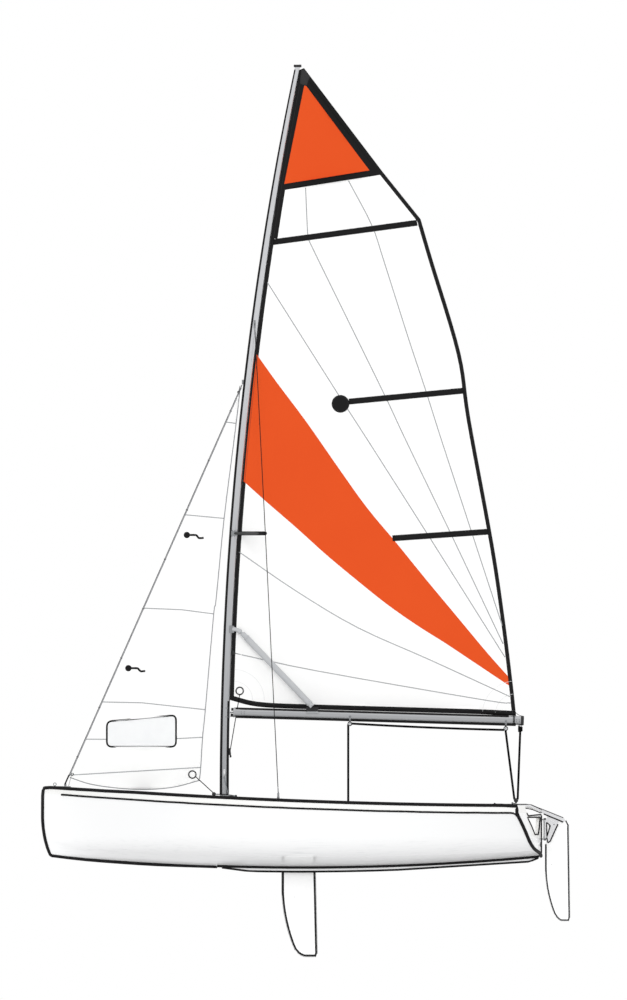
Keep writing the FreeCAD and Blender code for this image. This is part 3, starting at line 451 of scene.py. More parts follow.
for i in range(rows - 1):
    for k in range(wide - 1):
        a, b, c, d = i * wide + k, i * wide + k + 1, (i + 1) * wide + k + 1, (i + 1) * wide + k
        faces += [(d, c, b, a), (a + count, b + count, c + count, d + count)]
    for a, b in (((i + 1) * wide, i * wide), (i * wide + wide - 1, (i + 1) * wide + wide - 1)):
        faces.append((a, b, b + count, a + count))
for k in range(wide - 1):
    last = (rows - 1) * wide
    faces += [(k, k + 1, k + 1 + count, k + count),
              (last + k + 1, last + k, last + k + count, last + k + 1 + count)]
piece("bow_guard", (outer + inner, faces, None), rubber)

# Keel strips: a half-round black strip from the bow guard to the keel band, and one along each side of the
# band where it meets the bottom, with another on each of its lower edges.
KEEL_STRIP = 0.0137
SIDE_STRIP = 0.0109
EDGE_STRIP = 0.0086
KEEL_SITS = ((3.0, -0.0030), (2.02, -0.0030), (1.90, -0.0075), (1.70, -0.0125), (1.15, -0.0125),
             (0.90, -0.0090), (0.60, -0.0075))
stem = [hit(["hull", "deck"], (3.0, 0.0, z), (-1, 0, 0))[0] for z in (0.04, 0.02, 0.0, -0.015, -0.03)]
keel = [hit(["hull"], (x, 0.0, -1.0), (0, 0, 1))[0] for x in
        (2.045, 2.02, 1.98, 1.92, 1.85, 1.75, 1.6, 1.45, 1.3, 1.15, 1.0, 0.85, 0.72, 0.64)]
stem = [p + Vector((0.003, 0, 0)) for p in stem] + [p + Vector((0, 0, level(p.x, 1, KEEL_SITS)))
                                                    for p in keel]
strips = [tube(stem, KEEL_STRIP)]
band_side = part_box("keel_band")[1].y
for turn in (1, -1):
    beside_band = (band_side + 0.003) * turn
    line = [hit(["hull"], (x, beside_band, -1.0), (0, 0, 1))[0] for x in
            [0.64 - 0.1 * k for k in range(28)] + [-2.095]]
    strips.append(tube([p - Vector((0, 0, 0.0095)) for p in line], SIDE_STRIP, 8))
    under = [hit(["keel_band"], (x, (band_side - 0.004) * turn, -1.0), (0, 0, 1))[0] for x in
             [0.60 - 0.1 * k for k in range(27)] + [-2.04, -2.09]]
    strips.append(tube([p - Vector((0, 0, 0.0085)) for p in under], EDGE_STRIP, 8))
piece("keel_strips", strips, rubber)

# Transom edging: black trim on the bar's top and round each drain port, where ropes and hands rub.
TRIM = 0.0060
PORT_CORNERS = ((0.150, 0.286), (0.262, 0.141), (0.400, 0.141), (0.585, 0.286))
trims = []
for turn in (1, -1):
    loop = []
    for (ya, za), (yb, zb) in zip(PORT_CORNERS, PORT_CORNERS[1:] + PORT_CORNERS[:1]):
        for k in range(8):
            y, z = ya + (yb - ya) * k / 8, za + (zb - za) * k / 8
            loop.append(Vector((transom_x_at(y) - 0.001, y * turn, z)))
    trims.append(tube(loop, TRIM, 8, closed=True))
top = [0.70 * (k / 20 - 1) for k in range(41)]
found = [hit(["hull", "deck"], (transom_x_at(abs(y)) + 0.006, y, 1.0), (0, 0, -1))[0] for y in top]
bar = [Vector((transom_x_at(abs(p.y)), p.y, p.z)) for p in found if p.z < 0.33]
trims.append(tube(bar, TRIM, 8))
# Two upright strips beside the rudder's fittings keep a lifted rudder off the moulding.
for turn in (1, -1):
    post = [hit(["hull", "deck"], (-4.0, 0.036 * turn, z), (1, 0, 0))[0] for z in
            [0.304 - 0.0212 * k for k in range(20)]]
    trims.append(tube([p + Vector((0.001, 0, 0)) for p in post], 0.0125, 12))
piece("transom_trim", trims, rubber)

# ======== deck ========
# The deck moulding is white gelcoat too, a little duller and yellower than the hull from the sun, with fine
# scratches from feet and blocks. Its edge is bonded over the hull at the seam.
deck_coat, tree, shader, place = finish("white_deck_gelcoat", IOR=1.52, Coat_Weight=0.2, Coat_Roughness=0.15)
clouds = add(tree, "TexNoise", {"Vector": place, "Scale": 2.2, "Detail": 5.0})
scuffs = add(tree, "TexNoise", {"Vector": place, "Scale": 26.0, "Detail": 8.0, "Roughness": 0.8})
few = add(tree, "MapRange", {"Value": scuffs, "From Min": 0.6, "From Max": 0.8})
white = add(tree, "MixRGB", {"Fac": clouds, "Color1": "#F5F5F2", "Color2": "#FAFAF8"})
worn = add(tree, "MixRGB", {"Fac": few, "Color1": white, "Color2": "#DCDDDC"})
gloss = add(tree, "MapRange", {"Value": scuffs, "To Min": 0.2, "To Max": 0.42})
feed(shader, {"Base Color": worn, "Roughness": gloss})
coat(deck_coat, "deck", "centreboard_case_cap")

# Non-slip areas are moulded in grey gelcoat with a pattern of raised diamonds, dirtier in the hollows.
# The diamonds are really 6 mm across; they are drawn twice that size so that they show.
DIAMOND = 0.012
nonslip, tree, shader, place = finish("nonslip_gelcoat", "deck_gelcoat", Roughness=0.55, IOR=1.5)
slant = add(tree, "Mapping", {"Vector": place, "Rotation": (0, 0, 0.6)})
other = add(tree, "Mapping", {"Vector": place, "Rotation": (0, 0, -0.6)})
BANDS = 2 * math.pi / DIAMOND / 20      # a wave texture's scale for one band in each diamond
one = add(tree, "TexWave", {"Vector": slant, "Scale": BANDS}, bands_direction="Y")
two = add(tree, "TexWave", {"Vector": other, "Scale": BANDS}, bands_direction="Y")
raised = add(tree, "Math", {0: one, 1: two}, operation="MULTIPLY")
dirt = add(tree, "TexNoise", {"Vector": place, "Scale": 5.0, "Detail": 6.0})
soiled = add(tree, "Math", {0: dirt, 1: raised}, operation="ADD")
tone = add(tree, "MixRGB", {"Fac": soiled, "Color1": "#B9BCBD", "Color2": "#D6D8D8"})
bump = add(tree, "Bump", {"Height": raised, "Strength": 0.5, "Distance": 0.001})
feed(shader, {"Base Color": tone, "Normal": bump})


def rounded(corners, radius, steps=5):
    """A flat outline with its corners rounded, each by an arc as large as its sides allow."""
    shape = []
    count = len(corners)
    for i in range(count):
        here = Vector(corners[i])
        back = Vector(corners[i - 1]) - here
        on = Vector(corners[(i + 1) % count]) - here
        reach = min(radius, back.length * 0.45, on.length * 0.45)
        a, b = here + back.normalized() * reach, here + on.normalized() * reach
        for k in range(steps + 1):
            t = k / steps
            shape.append(tuple(a * (1 - t) ** 2 + here * 2 * t * (1 - t) + b * t * t))
    return shape


def area_of(shape):
    return sum(a[0] * b[1] - b[0] * a[1] for a, b in zip(shape, shape[1:] + shape[:1])) / 2


def anticlockwise(shape):
    return list(shape) if area_of(shape) > 0 else list(reversed(shape))


def contains(shape, u, v):
    inside = False
    for (au, av), (bu, bv) in zip(shape, shape[1:] + shape[:1]):
        if (av > v) != (bv > v) and u < (bu - au) * (v - av) / (bv - av) + au:
            inside = not inside
    return inside


def patchwork(outline, patches, spacing, at, half):
    """A thin closed sheet over a flat outline, with the number of the last patch that each face lies in.

    at(u, v, off) gives the point off one side of the sheet's middle surface by that distance.
    """
    shapes = [anticlockwise(s) for s in [outline] + list(patches)]
    flat, loops = [], []
    for shape in shapes:
        loops.append(list(range(len(flat), len(flat) + len(shape))))
        flat += [Vector(p) for p in shape]
    us, vs = [p[0] for p in shapes[0]], [p[1] for p in shapes[0]]
    rows = int((max(vs) - min(vs)) / (spacing * 0.866))
    for row in range(1, rows + 1):
        v = min(vs) + row * spacing * 0.866
        for column in range(int((max(us) - min(us)) / spacing) + 2):
            u = min(us) + (column + 0.5 * (row % 2)) * spacing
            if contains(shapes[0], u, v):
                flat.append(Vector((u, v)))
    found, _, triangles, _, _, sources = delaunay_2d_cdt(flat, [], loops, 1, 1e-5)
    kept = [(t, max(s)) for t, s in zip(triangles, sources) if 0 in s]
    count = len(found)
    points = [at(p.x, p.y, half) for p in found] + [at(p.x, p.y, -half) for p in found]
    faces, regions = [], []
    sides = {}
    for t, number in kept:
        t = tuple(t)
        faces.append(tuple(reversed(t)))
        faces.append(tuple(i + count for i in t))
        regions += [number, number]
        for a, b in zip(t, t[1:] + t[:1]):
            if (b, a) in sides:
                del sides[(b, a)]
            else:
                sides[(a, b)] = number
    for (a, b), number in sides.items():
        faces.append((a, b, b + count, a + count))
        regions.append(number)
    corners = [(found[i % count].x, found[i % count].y) for face in faces for i in face]
    used = sorted({i for face in faces for i in face})
    place = {old: new for new, old in enumerate(used)}
    return ([points[i] for i in used], [tuple(place[i] for i in face) for face in faces], corners), regions


def on_deck(x, y, off):
    """A point above the deck moulding, in the cockpit too."""
    return Vector((x, y, hit(["deck"], (x, y, 2.0), (0, 0, -1))[0].z + off))


FOREDECK = ((0.70, 0.14), (0.70, 0.68), (0.98, 0.655), (1.26, 0.54), (1.54, 0.385), (1.74, 0.235),
            (1.74, 0.04), (1.46, 0.04), (1.40, 0.13), (1.16, 0.13), (1.10, 0.05), (0.80, 0.05))
SIDE_DECK = ((0.40, 0.46), (-0.40, 0.622), (-1.25, 0.655), (-1.60, 0.668), (-1.60, 0.735), (-1.20, 0.775),
             (-0.80, 0.81), (-0.05, 0.825), (0.05, 0.78), (0.40, 0.765))
SOLE = ((0.28, 0.085), (0.28, 0.27), (-0.40, 0.40), (-1.25, 0.43), (-1.85, 0.42), (-1.85, 0.085))
for name, plan, radius in (("foredeck", FOREDECK, 0.05), ("side_deck", SIDE_DECK, 0.03),
                           ("sole", SOLE, 0.05)):
    sheets = []
    for turn in (1, -1):
        shape, _ = patchwork([(x, y * turn) for x, y in rounded(plan, radius)], (), 0.09, on_deck, 0.0016)
        sheets.append(shape)
    piece("nonslip_" + name, sheets, nonslip, smooth=False)


def turned(profile, where, axis, sides=24):
    """A round fitting: profile gives distances along its axis and radii, from one end to the other."""
    axis = Vector(axis).normalized()
    side = axis.orthogonal().normalized()
    up = axis.cross(side)
    return lofted([[Vector(where) + axis * along + (side * math.cos(a) + up * math.sin(a)) * radius
                    for a in angles(sides)] for along, radius in profile])


# Black glass-filled nylon: fittings, caps and blocks. Satin, with the slight orange-peel of a cheap mould.
nylon = mottled("black_nylon", "black_plastic", ("#121213", "#1E1E1F"), (18.0, 4.0), gloss=(0.32, 0.5),
                grain=(260.0, 2.0, 0.2, 0.0004), IOR=1.53)
coat(nylon, "foredeck_hatch", "control_cleats", "jib_sheet_blocks", "mainsheet_swivel", "masthead_cap",
     "boom_nose", "boom_end_cap", "boom_blocks", "spreaders", "tiller_extension")


def lined(name, slot, stretch, lines, tones, gloss, specks, speck_tone, bump=None, **sockets):
    """A finish with fine lines all one way, and specks on it where it has been knocked or stained.

    The lines are a noise's scale, detail and, where given, roughness, drawn out by stretch. tones, gloss and
    bump are their two tones, their span of roughness, and their strength and depth. The specks are another
    noise's scale and detail, and the span of it in which they come up.
    """
    made, tree, shader, place = finish(name, slot, **sockets)
    drawn = add(tree, "Mapping", {"Vector": place, "Scale": stretch})
    noise = add(tree, "TexNoise", {"Vector": drawn, "Scale": lines[0], "Detail": lines[1]})
    if len(lines) > 2:
        feed(noise, {"Roughness": lines[2]})
    spots = add(tree, "TexNoise", {"Vector": place, "Scale": specks[0], "Detail": specks[1]})
    where = add(tree, "MapRange", {"Value": spots, "From Min": specks[2], "From Max": specks[3]})
    clean = add(tree, "MixRGB", {"Fac": noise, "Color1": tones[0], "Color2": tones[1]})
    tone = add(tree, "MixRGB", {"Fac": where, "Color1": clean, "Color2": speck_tone})
    sheen = add(tree, "MapRange", {"Value": noise, "To Min": gloss[0], "To Max": gloss[1]})
    feed(shader, {"Base Color": tone, "Roughness": sheen})
    if bump:
        feed(shader, {"Normal": add(tree, "Bump",
                                    {"Height": noise, "Strength": bump[0], "Distance": bump[1]})})
    return made


# Stainless steel: polished fittings, their brightness broken by fine brushing and tea-coloured specks.
steel = lined("stainless_steel", "stainless", stretch=(1.0, 1.0, 14.0), lines=(160.0, 3.0),
              tones=("#8F9193", "#AAACAE"), gloss=(0.26, 0.44), specks=(70.0, 6.0, 0.66, 0.8),
              speck_tone="#8F8474", Metallic=1.0)
coat(steel, "stem_fitting", "bow_eye", "chainplates", "shroud_adjusters", "hounds_tangs", "kicker_bracket",
     "gooseneck_bracket", "spreader_brackets", "rudder_gudgeons", "rudder_pintle", "blade_bolt",
     "centreboard_pin")

# Foredeck hatch: a screw-in cover with two finger hollows, shown as its raised rim and grip bar.
hatch_low, hatch_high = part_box("foredeck_hatch")
hatch = (hatch_low + hatch_high) / 2
lid = hatch_high.z
rim = turned(((-0.004, 0.078), (0.0008, 0.078), (0.0016, 0.0765), (0.0016, 0.071), (0.0008, 0.0695),
              (-0.004, 0.0695)), (hatch.x, 0.0, lid), (0, 0, 1), 48)
bars = [tube([(hatch.x + d, -0.05, lid), (hatch.x + d, 0.05, lid)], 0.0028, 8) for d in (-0.014, 0.014)]
piece("hatch_grip", [rim] + bars, nylon)

# ======== cockpit ========
# Fittings inside the moulded cockpit: padded webbing straps under steel plates, screw-in nylon covers of the
# buoyancy tanks, and drain bungs in the transom. The braid of every rope on the boat is made here too.

# Toe straps: 45 mm polyester webbing under light padding, screwed to the sole at both ends.
webbing, tree, shader, place = finish("black_webbing", "webbing", Roughness=0.85)
# The ribs of the weave are really 1.6 mm apart; they are drawn at 5 mm so that they show.
RIB = 0.005
ribs = add(tree, "TexWave", {"Vector": place, "Scale": 2 * math.pi / RIB / 20,
                             "Distortion": 0.6, "Detail": 1.0})
faded = add(tree, "TexNoise", {"Vector": place, "Scale": 9.0, "Detail": 5.0})
mixed = add(tree, "Math", {0: ribs, 1: faded}, operation="MULTIPLY")
tone = add(tree, "MixRGB", {"Fac": mixed, "Color1": "#141415", "Color2": "#3A3A3C"})
bump = add(tree, "Bump", {"Height": ribs, "Strength": 0.6, "Distance": 0.0008})
feed(shader, {"Base Color": tone, "Normal": bump})
coat(webbing, "toe_straps")
strap_low, strap_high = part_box("toe_straps")
STRAP_Y = 0.205


def slab(centre, along, across_, up, sizes, round_by=0.0):
    """A flat plate with rounded corners: sizes are its length, breadth and thickness."""
    a, b, c = (Vector(d).normalized() for d in (along, across_, up))
    half_long, half_wide = sizes[0] / 2, sizes[1] / 2
    ends = ((half_long, half_wide), (-half_long, half_wide), (-half_long, -half_wide),
            (half_long, -half_wide))
    ring = rounded(ends, round_by, 4) if round_by else list(ends)
    return lofted([[Vector(centre) + a * u + b * v + c * h for u, v in ring] for h in (0.0, sizes[2])])


def screw_head(where, axis, radius=0.0045):
    return turned(((-0.001, radius), (0.0004, radius), (0.0016, radius * 0.7), (0.002, radius * 0.25)),
                  where, axis, 12)


plates = []
for y in (-STRAP_Y, STRAP_Y):
    for x in (strap_low.x + 0.004, strap_high.x - 0.004):
        plates.append(slab((x, y, on_deck(x, y, 0).z), (0, 1, 0), (1, 0, 0), (0, 0, 1), (0.062, 0.024, 0.003),
                           0.006))
        for d in (-0.0255, 0.0255):
            plates.append(screw_head((x, y + d, on_deck(x, y + d, 0).z + 0.003), (0, 0, 1)))
piece("toe_strap_plates", plates, steel)

# Buoyancy-tank inspection covers: screw-in black nylon discs with grip ribs, let into the cockpit's sides.
covers = []
for x in (-1.45, -0.15):
    for turn in (1, -1):
        where, normal = hit(["deck"], (x, 0.0, 0.265), (0, turn, 0))
        covers.append(turned(((-0.004, 0.072), (0.002, 0.072), (0.005, 0.068), (0.005, 0.058),
                              (0.0025, 0.055),
                              (0.0025, 0.02), (0.0045, 0.017), (0.0045, 0.004)), where, normal, 40))
        along = Vector((1, 0, 0))
        along -= normal * along.dot(normal)
        for d in (-0.03, 0.0, 0.03):
            middle = where + normal.cross(along).normalized() * d + normal * 0.003
            reach = along.normalized() * math.sqrt(0.05 ** 2 - d ** 2)
            covers.append(tube([middle - reach, middle + reach], 0.0026, 8))
piece("tank_covers", covers, nylon)

# Drain bungs low on the transom, each a nylon flange with a screwed plug.
bungs = []
for y in (-0.12, 0.12):
    where, normal = hit(["hull"], (-4.0, y, 0.055), (1, 0, 0))
    bungs.append(turned(((-0.003, 0.021), (0.002, 0.021), (0.003, 0.019), (0.003, 0.012), (0.007, 0.011),
                         (0.008, 0.009)), where, normal, 28))
    bungs.append(slab(where + normal * 0.0075, (0, 1, 0), (0, 0, 1), normal, (0.018, 0.004, 0.003), 0.001))
piece("drain_bungs", bungs, nylon)

# Ropes: braided polyester. Black lines are the sheets, grey ones with dark flecks the control lines.


def braid(name, base, fleck):
    """Braided rope: a twisted pattern of yarns along it, matt and slightly hairy."""
    made, tree, shader, place = finish(name, "webbing", Roughness=0.8, Specular_IOR_Level=0.05)
    # One turn of the braid is really about 12 mm long; UVs run along the rope in metres and once round it.
    twisted = add(tree, "Mapping", {"Vector": place.outputs["UV"], "Scale": (1 / 0.012, 4.0, 1.0),
                                    "Rotation": (0.0, 0.0, 0.5)})
    yarns = add(tree, "TexChecker", {"Vector": twisted, "Scale": 2.0})
    worn = add(tree, "TexNoise", {"Vector": place, "Scale": 30.0, "Detail": 4.0})
    share = add(tree, "Math", {0: yarns, 1: worn}, operation="MULTIPLY")
    tone = add(tree, "MixRGB", {"Fac": share, "Color1": base, "Color2": fleck})
    bump = add(tree, "Bump", {"Height": yarns, "Strength": 0.5, "Distance": 0.0006})
    feed(shader, {"Base Color": tone, "Normal": bump})
    return made


black_rope = braid("black_braid", "#0A0A0B", "#171718")
grey_rope = braid("grey_braid", "#8D9195", "#3B3D40")


def sagging(a, b, sag, steps=12):
    """Points from a to b along a shallow hanging curve."""
    a, b = Vector(a), Vector(b)
    return [a.lerp(b, k / steps) - Vector((0, 0, sag * 4 * (k / steps) * (1 - k / steps)))
            for k in range(steps + 1)]


def bent(points, steps=6):
    """A smooth line through points, by Catmull and Rom's rule."""
    p = [Vector(q) for q in points]
    p = [p[0] * 2 - p[1]] + p + [p[-1] * 2 - p[-2]]
    line = []
    for i in range(1, len(p) - 2):
        for k in range(steps):
            t = k / steps
            line.append(((p[i] * 2) + (p[i + 1] - p[i - 1]) * t
                         + (p[i - 1] * 2 - p[i] * 5 + p[i + 1] * 4 - p[i + 2]) * t ** 2
                         + (p[i] * 3 - p[i - 1] - p[i + 1] * 3 + p[i + 2]) * t ** 3) / 2)
    return line + [p[-2]]


def knot(where, radius):
    """A stopper knot: three short turns of rope."""
    turns = []
    for k in range(26):
        a = 2 * math.pi * k / 8
        turns.append(Vector(where) + Vector((math.cos(a) * radius * 1.3, math.sin(a) * radius * 1.3,
                                             (k / 25 - 0.5) * radius * 4)))
    return tube(turns, radius * 0.9, 8)

# ======== centreboard ========
# The board pivots in its case: a glass-epoxy foil over foam, sprayed white and rubbed down fair, with a
# black resin edge where it would otherwise chip.
# Sprayed two-pack paint: fine sanding marks run down it under a soft gloss, with grey nicks from stones.
foil = lined("white_foil_paint", None, stretch=(3.0, 1.0, 1.0), lines=(24.0, 7.0, 0.7),
             tones=("#FBFBFA", "#FFFFFE"), gloss=(0.25, 0.45), specks=(55.0, 3.0, 0.7, 0.78),
             speck_tone="#C6C8C8", bump=(0.08, 0.001), IOR=1.5, Coat_Weight=0.15, Coat_Roughness=0.2)
coat(foil, "centreboard", "rudder_blade")


def foil_line(name, front_top, aft_top, bottom):
    """Points down a foil's forward edge, round its tip and up its aft edge, as x and z."""
    low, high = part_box(name)
    side_steps, tip_steps = 22, 16
    forward, aft = [], []
    for k in range(side_steps + 1):
        z = front_top + (bottom - front_top) * k / side_steps
        forward.append(hit([name], (1.0 + high.x, 0.0, z), (-1, 0, 0))[0])
        z = aft_top + (bottom - aft_top) * k / side_steps
        aft.append(hit([name], (low.x - 1.0, 0.0, z), (1, 0, 0))[0])
    a, b = forward[-1].x, aft[-1].x
    tip = [hit([name], (a + (b - a) * k / tip_steps, 0.0, low.z - 1.0), (0, 0, 1))[0]
           for k in range(1, tip_steps)]
    return [(p.x, p.z) for p in forward + tip + list(reversed(aft))]


def edge_band(name, line, wide, thick, proud):
    """A band laid over a foil's edge and on to both its faces, standing proud of the edge itself."""
    rows = []
    for i, (x, z) in enumerate(line):
        a, b = line[max(i - 1, 0)], line[min(i + 1, len(line) - 1)]
        run = Vector((b[0] - a[0], 0.0, b[1] - a[1])).normalized()
        out = Vector((-run.z, 0.0, run.x))
        edge = Vector((x, 0.0, z))
        row = []
        for inset in (wide, wide * 0.75, wide * 0.5, wide * 0.28, wide * 0.12):
            spot = edge - out * inset
            try:
                half = hit([name], spot + PORT, -PORT)[0].y
            except TypeError:
                half = row[-1].y - thick if row else 0.001
            row.append(spot + PORT * (max(half, 0.0005) + thick))
        row.append(edge + out * proud + PORT * 0.0004)
        rows.append(row + across(reversed(row)))
    return lofted(rows, inside_out=True)


BOARD_BAND = 0.019
# The resin edge is glossy where it is whole and dull where it has chipped.
resin = mottled("black_edge_resin", "foil_laminate", ("#111112", "#222223"), (60.0, 6.0), gloss=(0.25, 0.6),
                Specular_IOR_Level=0.2)
line = foil_line("centreboard", -0.155, -0.165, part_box("centreboard")[0].z + 0.03)
piece("centreboard_edge", edge_band("centreboard", line, BOARD_BAND, 0.0006, 0.0025), resin, "drop_board")


# ======== rudder ========
# Two stainless gudgeons on the transom carry the stock's pins. The stock is a folded and welded aluminium
# box; the blade swings up in it on one bolt, and the tiller plugs into its head.
# Satin silver anodising: fine lines from the extruder's die run along each length, cut by small knocks.
aluminium = lined("anodised_aluminium", "anodised_aluminium", stretch=(90.0, 90.0, 1.2), lines=(2.0, 3.0),
                  tones=("#EDEEEF", "#F8F8F9"), gloss=(0.3, 0.48), specks=(40.0, 8.0, 0.68, 0.8),
                  speck_tone="#8E9093", Metallic=1.0)
coat(aluminium, "rudder_stock", "tiller")

BLADE_BAND = 0.013
# The blade's edge is the same resin, greyed by sun and grit.
dark_edge = mottled("dark_edge_resin", "foil_laminate", ("#1F2021", "#333436"), (60.0, 6.0), Roughness=0.5,
                    Specular_IOR_Level=0.2)
line = foil_line("rudder_blade", 0.058, 0.262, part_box("rudder_blade")[0].z + 0.03)
piece("rudder_blade_edge", edge_band("rudder_blade", line, BLADE_BAND, 0.0005, 0.0020), dark_edge,
      "kickup_blade")

# Edging on the stock's cheeks: black rubber let over the cut edges, where ropes and fingers meet them.
PIVOT_Z, GUDGEON_LOW, GUDGEON_HIGH = 0.225, 0.107, 0.262
stock_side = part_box("rudder_stock")[1].y
rudder_x = transom_x - 0.033
CHEEK = ((0.117, PIVOT_Z + 0.058), (0.109, PIVOT_Z - 0.002), (0.044, GUDGEON_LOW - 0.026),
         (0.025, GUDGEON_LOW - 0.036), (0.017, GUDGEON_LOW + 0.003), (0.017, GUDGEON_HIGH + 0.060))
WINDOW = ((0.015, PIVOT_Z + 0.018), (0.046, PIVOT_Z - 0.009), (0.018, GUDGEON_LOW + 0.015))
trims = []
EDGING = 0.0056
FORK_Y = 0.0205              # just inside the outer faces of the straps of the tiller's fork
for turn in (1, -1):
    face = (stock_side + 0.0002) * turn
    window = rounded(WINDOW, 0.006, 4)
    trims.append(tube([(rudder_x - a, face, z) for a, z in window], EDGING, 8, closed=True))
    cheek = [Vector((rudder_x - a, face, z)) for a, z in rounded(CHEEK, 0.006, 4)]
    under_strap = [p for p in cheek if p.z < hit(["tiller"], (p.x, FORK_Y * turn, -0.5),
                                                 (0, 0, 1))[0].z - EDGING]
    trims.append(tube(under_strap, EDGING, 8))
    strap = [hit(["tiller"], (-2.135 - 0.0165 * k, FORK_Y * turn, -0.5), (0, 0, 1))[0] for k in range(11)]
    trims.append(tube([p + Vector((0.0, 0.0015 * turn, -0.001)) for p in strap], EDGING, 8))
piece("stock_edging", trims, rubber, "steering")

# Pintle bushes: black nylon rings above and below each gudgeon.
bushes = []
for height in (GUDGEON_LOW, GUDGEON_HIGH):
    for middle in (height - 0.014, height + 0.014):
        bushes.append(turned(((-0.003, 0.0085), (-0.003, 0.0120), (0.003, 0.0120), (0.003, 0.0085)),
                             (rudder_x, 0.0, middle), (0, 0, 1), 24))
piece("pintle_bushes", bushes, nylon, "steering")

# The tiller's foam grips and the end plug of its tube; a rubber universal joint holds the extension.
tiller_low, tiller_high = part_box("tiller")
ext_low, ext_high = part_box("tiller_extension")
TILLER_R = 0.0145
tiller_z = tiller_high.z - TILLER_R
TILLER_BEND = -2.015
# Closed-cell foam tube: dead matt, with fine pores and thumb-worn patches.
foam = mottled("closed_cell_foam", "black_plastic", ("#1D1D1E", "#2E2E2F"), (20.0, 4.0),
               grain=(500.0, 1.0, 0.5, 0.0005), Roughness=0.95)


def sleeve(a, b, inner, outer, sides=20):
    """A tube's covering between two points, its ends rounded down to the tube."""
    run = (Vector(b) - Vector(a)).length
    ease = min(0.006, run / 4)
    return turned(((0.0, inner), (ease * 0.3, outer - ease * 0.3), (ease, outer), (run - ease, outer),
                   (run - ease * 0.3, outer - ease * 0.3), (run, inner)), a, Vector(b) - Vector(a), sides)


grips = [sleeve((tiller_high.x - 0.30, 0, tiller_z), (tiller_high.x - 0.02, 0, tiller_z), TILLER_R,
                TILLER_R + 0.0022)]
piece("tiller_grip", grips, foam, "steering")
plug = turned(((-0.002, 0.013), (0.004, 0.0155), (0.010, 0.014), (0.013, 0.009)),
              (tiller_high.x, 0, tiller_z), (1, 0, 0))
ext_mid = (ext_low + ext_high) / 2
boot = turned(((0.0, 0.009), (0.004, 0.013), (0.010, 0.0125), (0.016, 0.0095), (0.022, 0.012),
               (0.028, 0.0115), (0.032, 0.007)), (ext_high.x - 0.012, ext_mid.y, ext_mid.z), (1, 0, 0))
piece("tiller_plug", [plug, boot], rubber, "steering")
ext_r = (ext_high.z - ext_low.z) / 2
ext_grip = sleeve((ext_low.x + 0.03, ext_mid.y, ext_mid.z), (ext_low.x + 0.33, ext_mid.y, ext_mid.z), ext_r,
                  ext_r + 0.0030)
piece("extension_grip", ext_grip, foam, "steering")

# Blade control lines: an uphaul from the blade's after edge along the top of the tiller, and a downhaul
# under it, each held in a clam cleat just ahead of the bend and cut short to a stopper knot.
LINE_R = 0.0038
cleat_x = TILLER_BEND + 0.26
above, below = tiller_z + TILLER_R, tiller_z - TILLER_R
clam = [slab((cleat_x, 0.0, below - 0.010), (1, 0, 0), (0, 1, 0), (0, 0, 1), (0.06, 0.020, 0.011), 0.004),
        slab((cleat_x, 0.0, above - 0.002), (1, 0, 0), (0, 1, 0), (0, 0, 1), (0.06, 0.020, 0.006), 0.003)]
piece("downhaul_cleat", clam, nylon, "steering")


def beside_tiller(x, y, way):
    """A point on top of the tiller (1) or under it (-1), or on one strap of its fork."""
    return x, y, hit(["tiller"], (x, y, tiller_z + way * 0.5), (0, 0, -way))[0].z + way * LINE_R * 0.7


up_line = [beside_tiller(x, y, 1) for x, y in ((tiller_low.x + 0.014, 0.0193), (-2.26, 0.0193),
                                               (-2.20, 0.0193),
                                               (-2.14, 0.0190), (-2.09, 0.006), (-2.03, 0.0))]
up_line += [(TILLER_BEND + 0.03, 0.0, above + LINE_R * 0.8), (cleat_x - 0.05, 0.0, above + LINE_R * 0.8),
            (cleat_x - 0.02, 0.0, above + 0.005), (cleat_x + 0.036, 0.0, above + 0.005)]
down_line = [beside_tiller(x, 0.0, -1) for x in (-2.11, -2.07, -2.04)]
down_line += [(TILLER_BEND + 0.02, 0.0, below - LINE_R), (cleat_x - 0.03, 0.0, below - 0.006),
              (cleat_x + 0.036, 0.0, below - 0.006)]
lines = []
for line in (up_line, down_line):
    lines += [tube(line, LINE_R, 8), knot(line[-1], LINE_R)]
piece("blade_lines", lines, black_rope, "steering")

# ======== mast ========
# A tapered, anodised aluminium tube with a luff groove down its aft side. It stands on a heel casting and
# carries one pair of swept spreaders; tangs are riveted on at the hounds.
spar, tree, shader, place = finish("anodised_spar", Metallic=1.0)
# As the other anodised tube, but drawn along the mast, and painted darker towards its foot as shade.
drawn = add(tree, "Mapping", {"Vector": place, "Scale": (110.0, 110.0, 0.8)})
dies = add(tree, "TexNoise", {"Vector": drawn, "Scale": 2.0, "Detail": 3.0})
position = add(tree, "SeparateXYZ", {"Vector": place})
# Painted shade: the tone darkens from 4.2 m down to 0.6 m.
painted_shade_low = add(tree, "MapRange", {"Value": position.outputs["Z"], "From Min": 4.2, "From Max": 0.6})
satin_with_painted_shade = add(tree, "MixRGB", {"Fac": painted_shade_low, "Color1": "#E4E5E7", "Color2": "#B0B2B4"})
faint = add(tree, "Math", {0: dies, 1: 0.3}, operation="MULTIPLY")
tone = add(tree, "MixRGB", {"Fac": faint, "Color1": satin_with_painted_shade, "Color2": "#C9CBCD"})
gloss = add(tree, "MapRange", {"Value": dies, "To Min": 0.28, "To Max": 0.45})
feed(shader, {"Base Color": tone, "Roughness": gloss})
coat(spar, "mast", "mast_step")


def mast_face(z, way):
    """The mast's forward or aft face on the centreline: way is 1 or -1."""
    return hit(["mast"], (2.5 * way, 0.0, z), (-way, 0, 0))[0]


def mast_side(z, share=0.5):
    """A point on the mast's port side at a height, at a share of the way from its aft to its forward face."""
    a, b = mast_face(z, -1).x, mast_face(z, 1).x
    return hit(["mast"], (a + (b - a) * share, 1.0, z), (0, -1, 0))


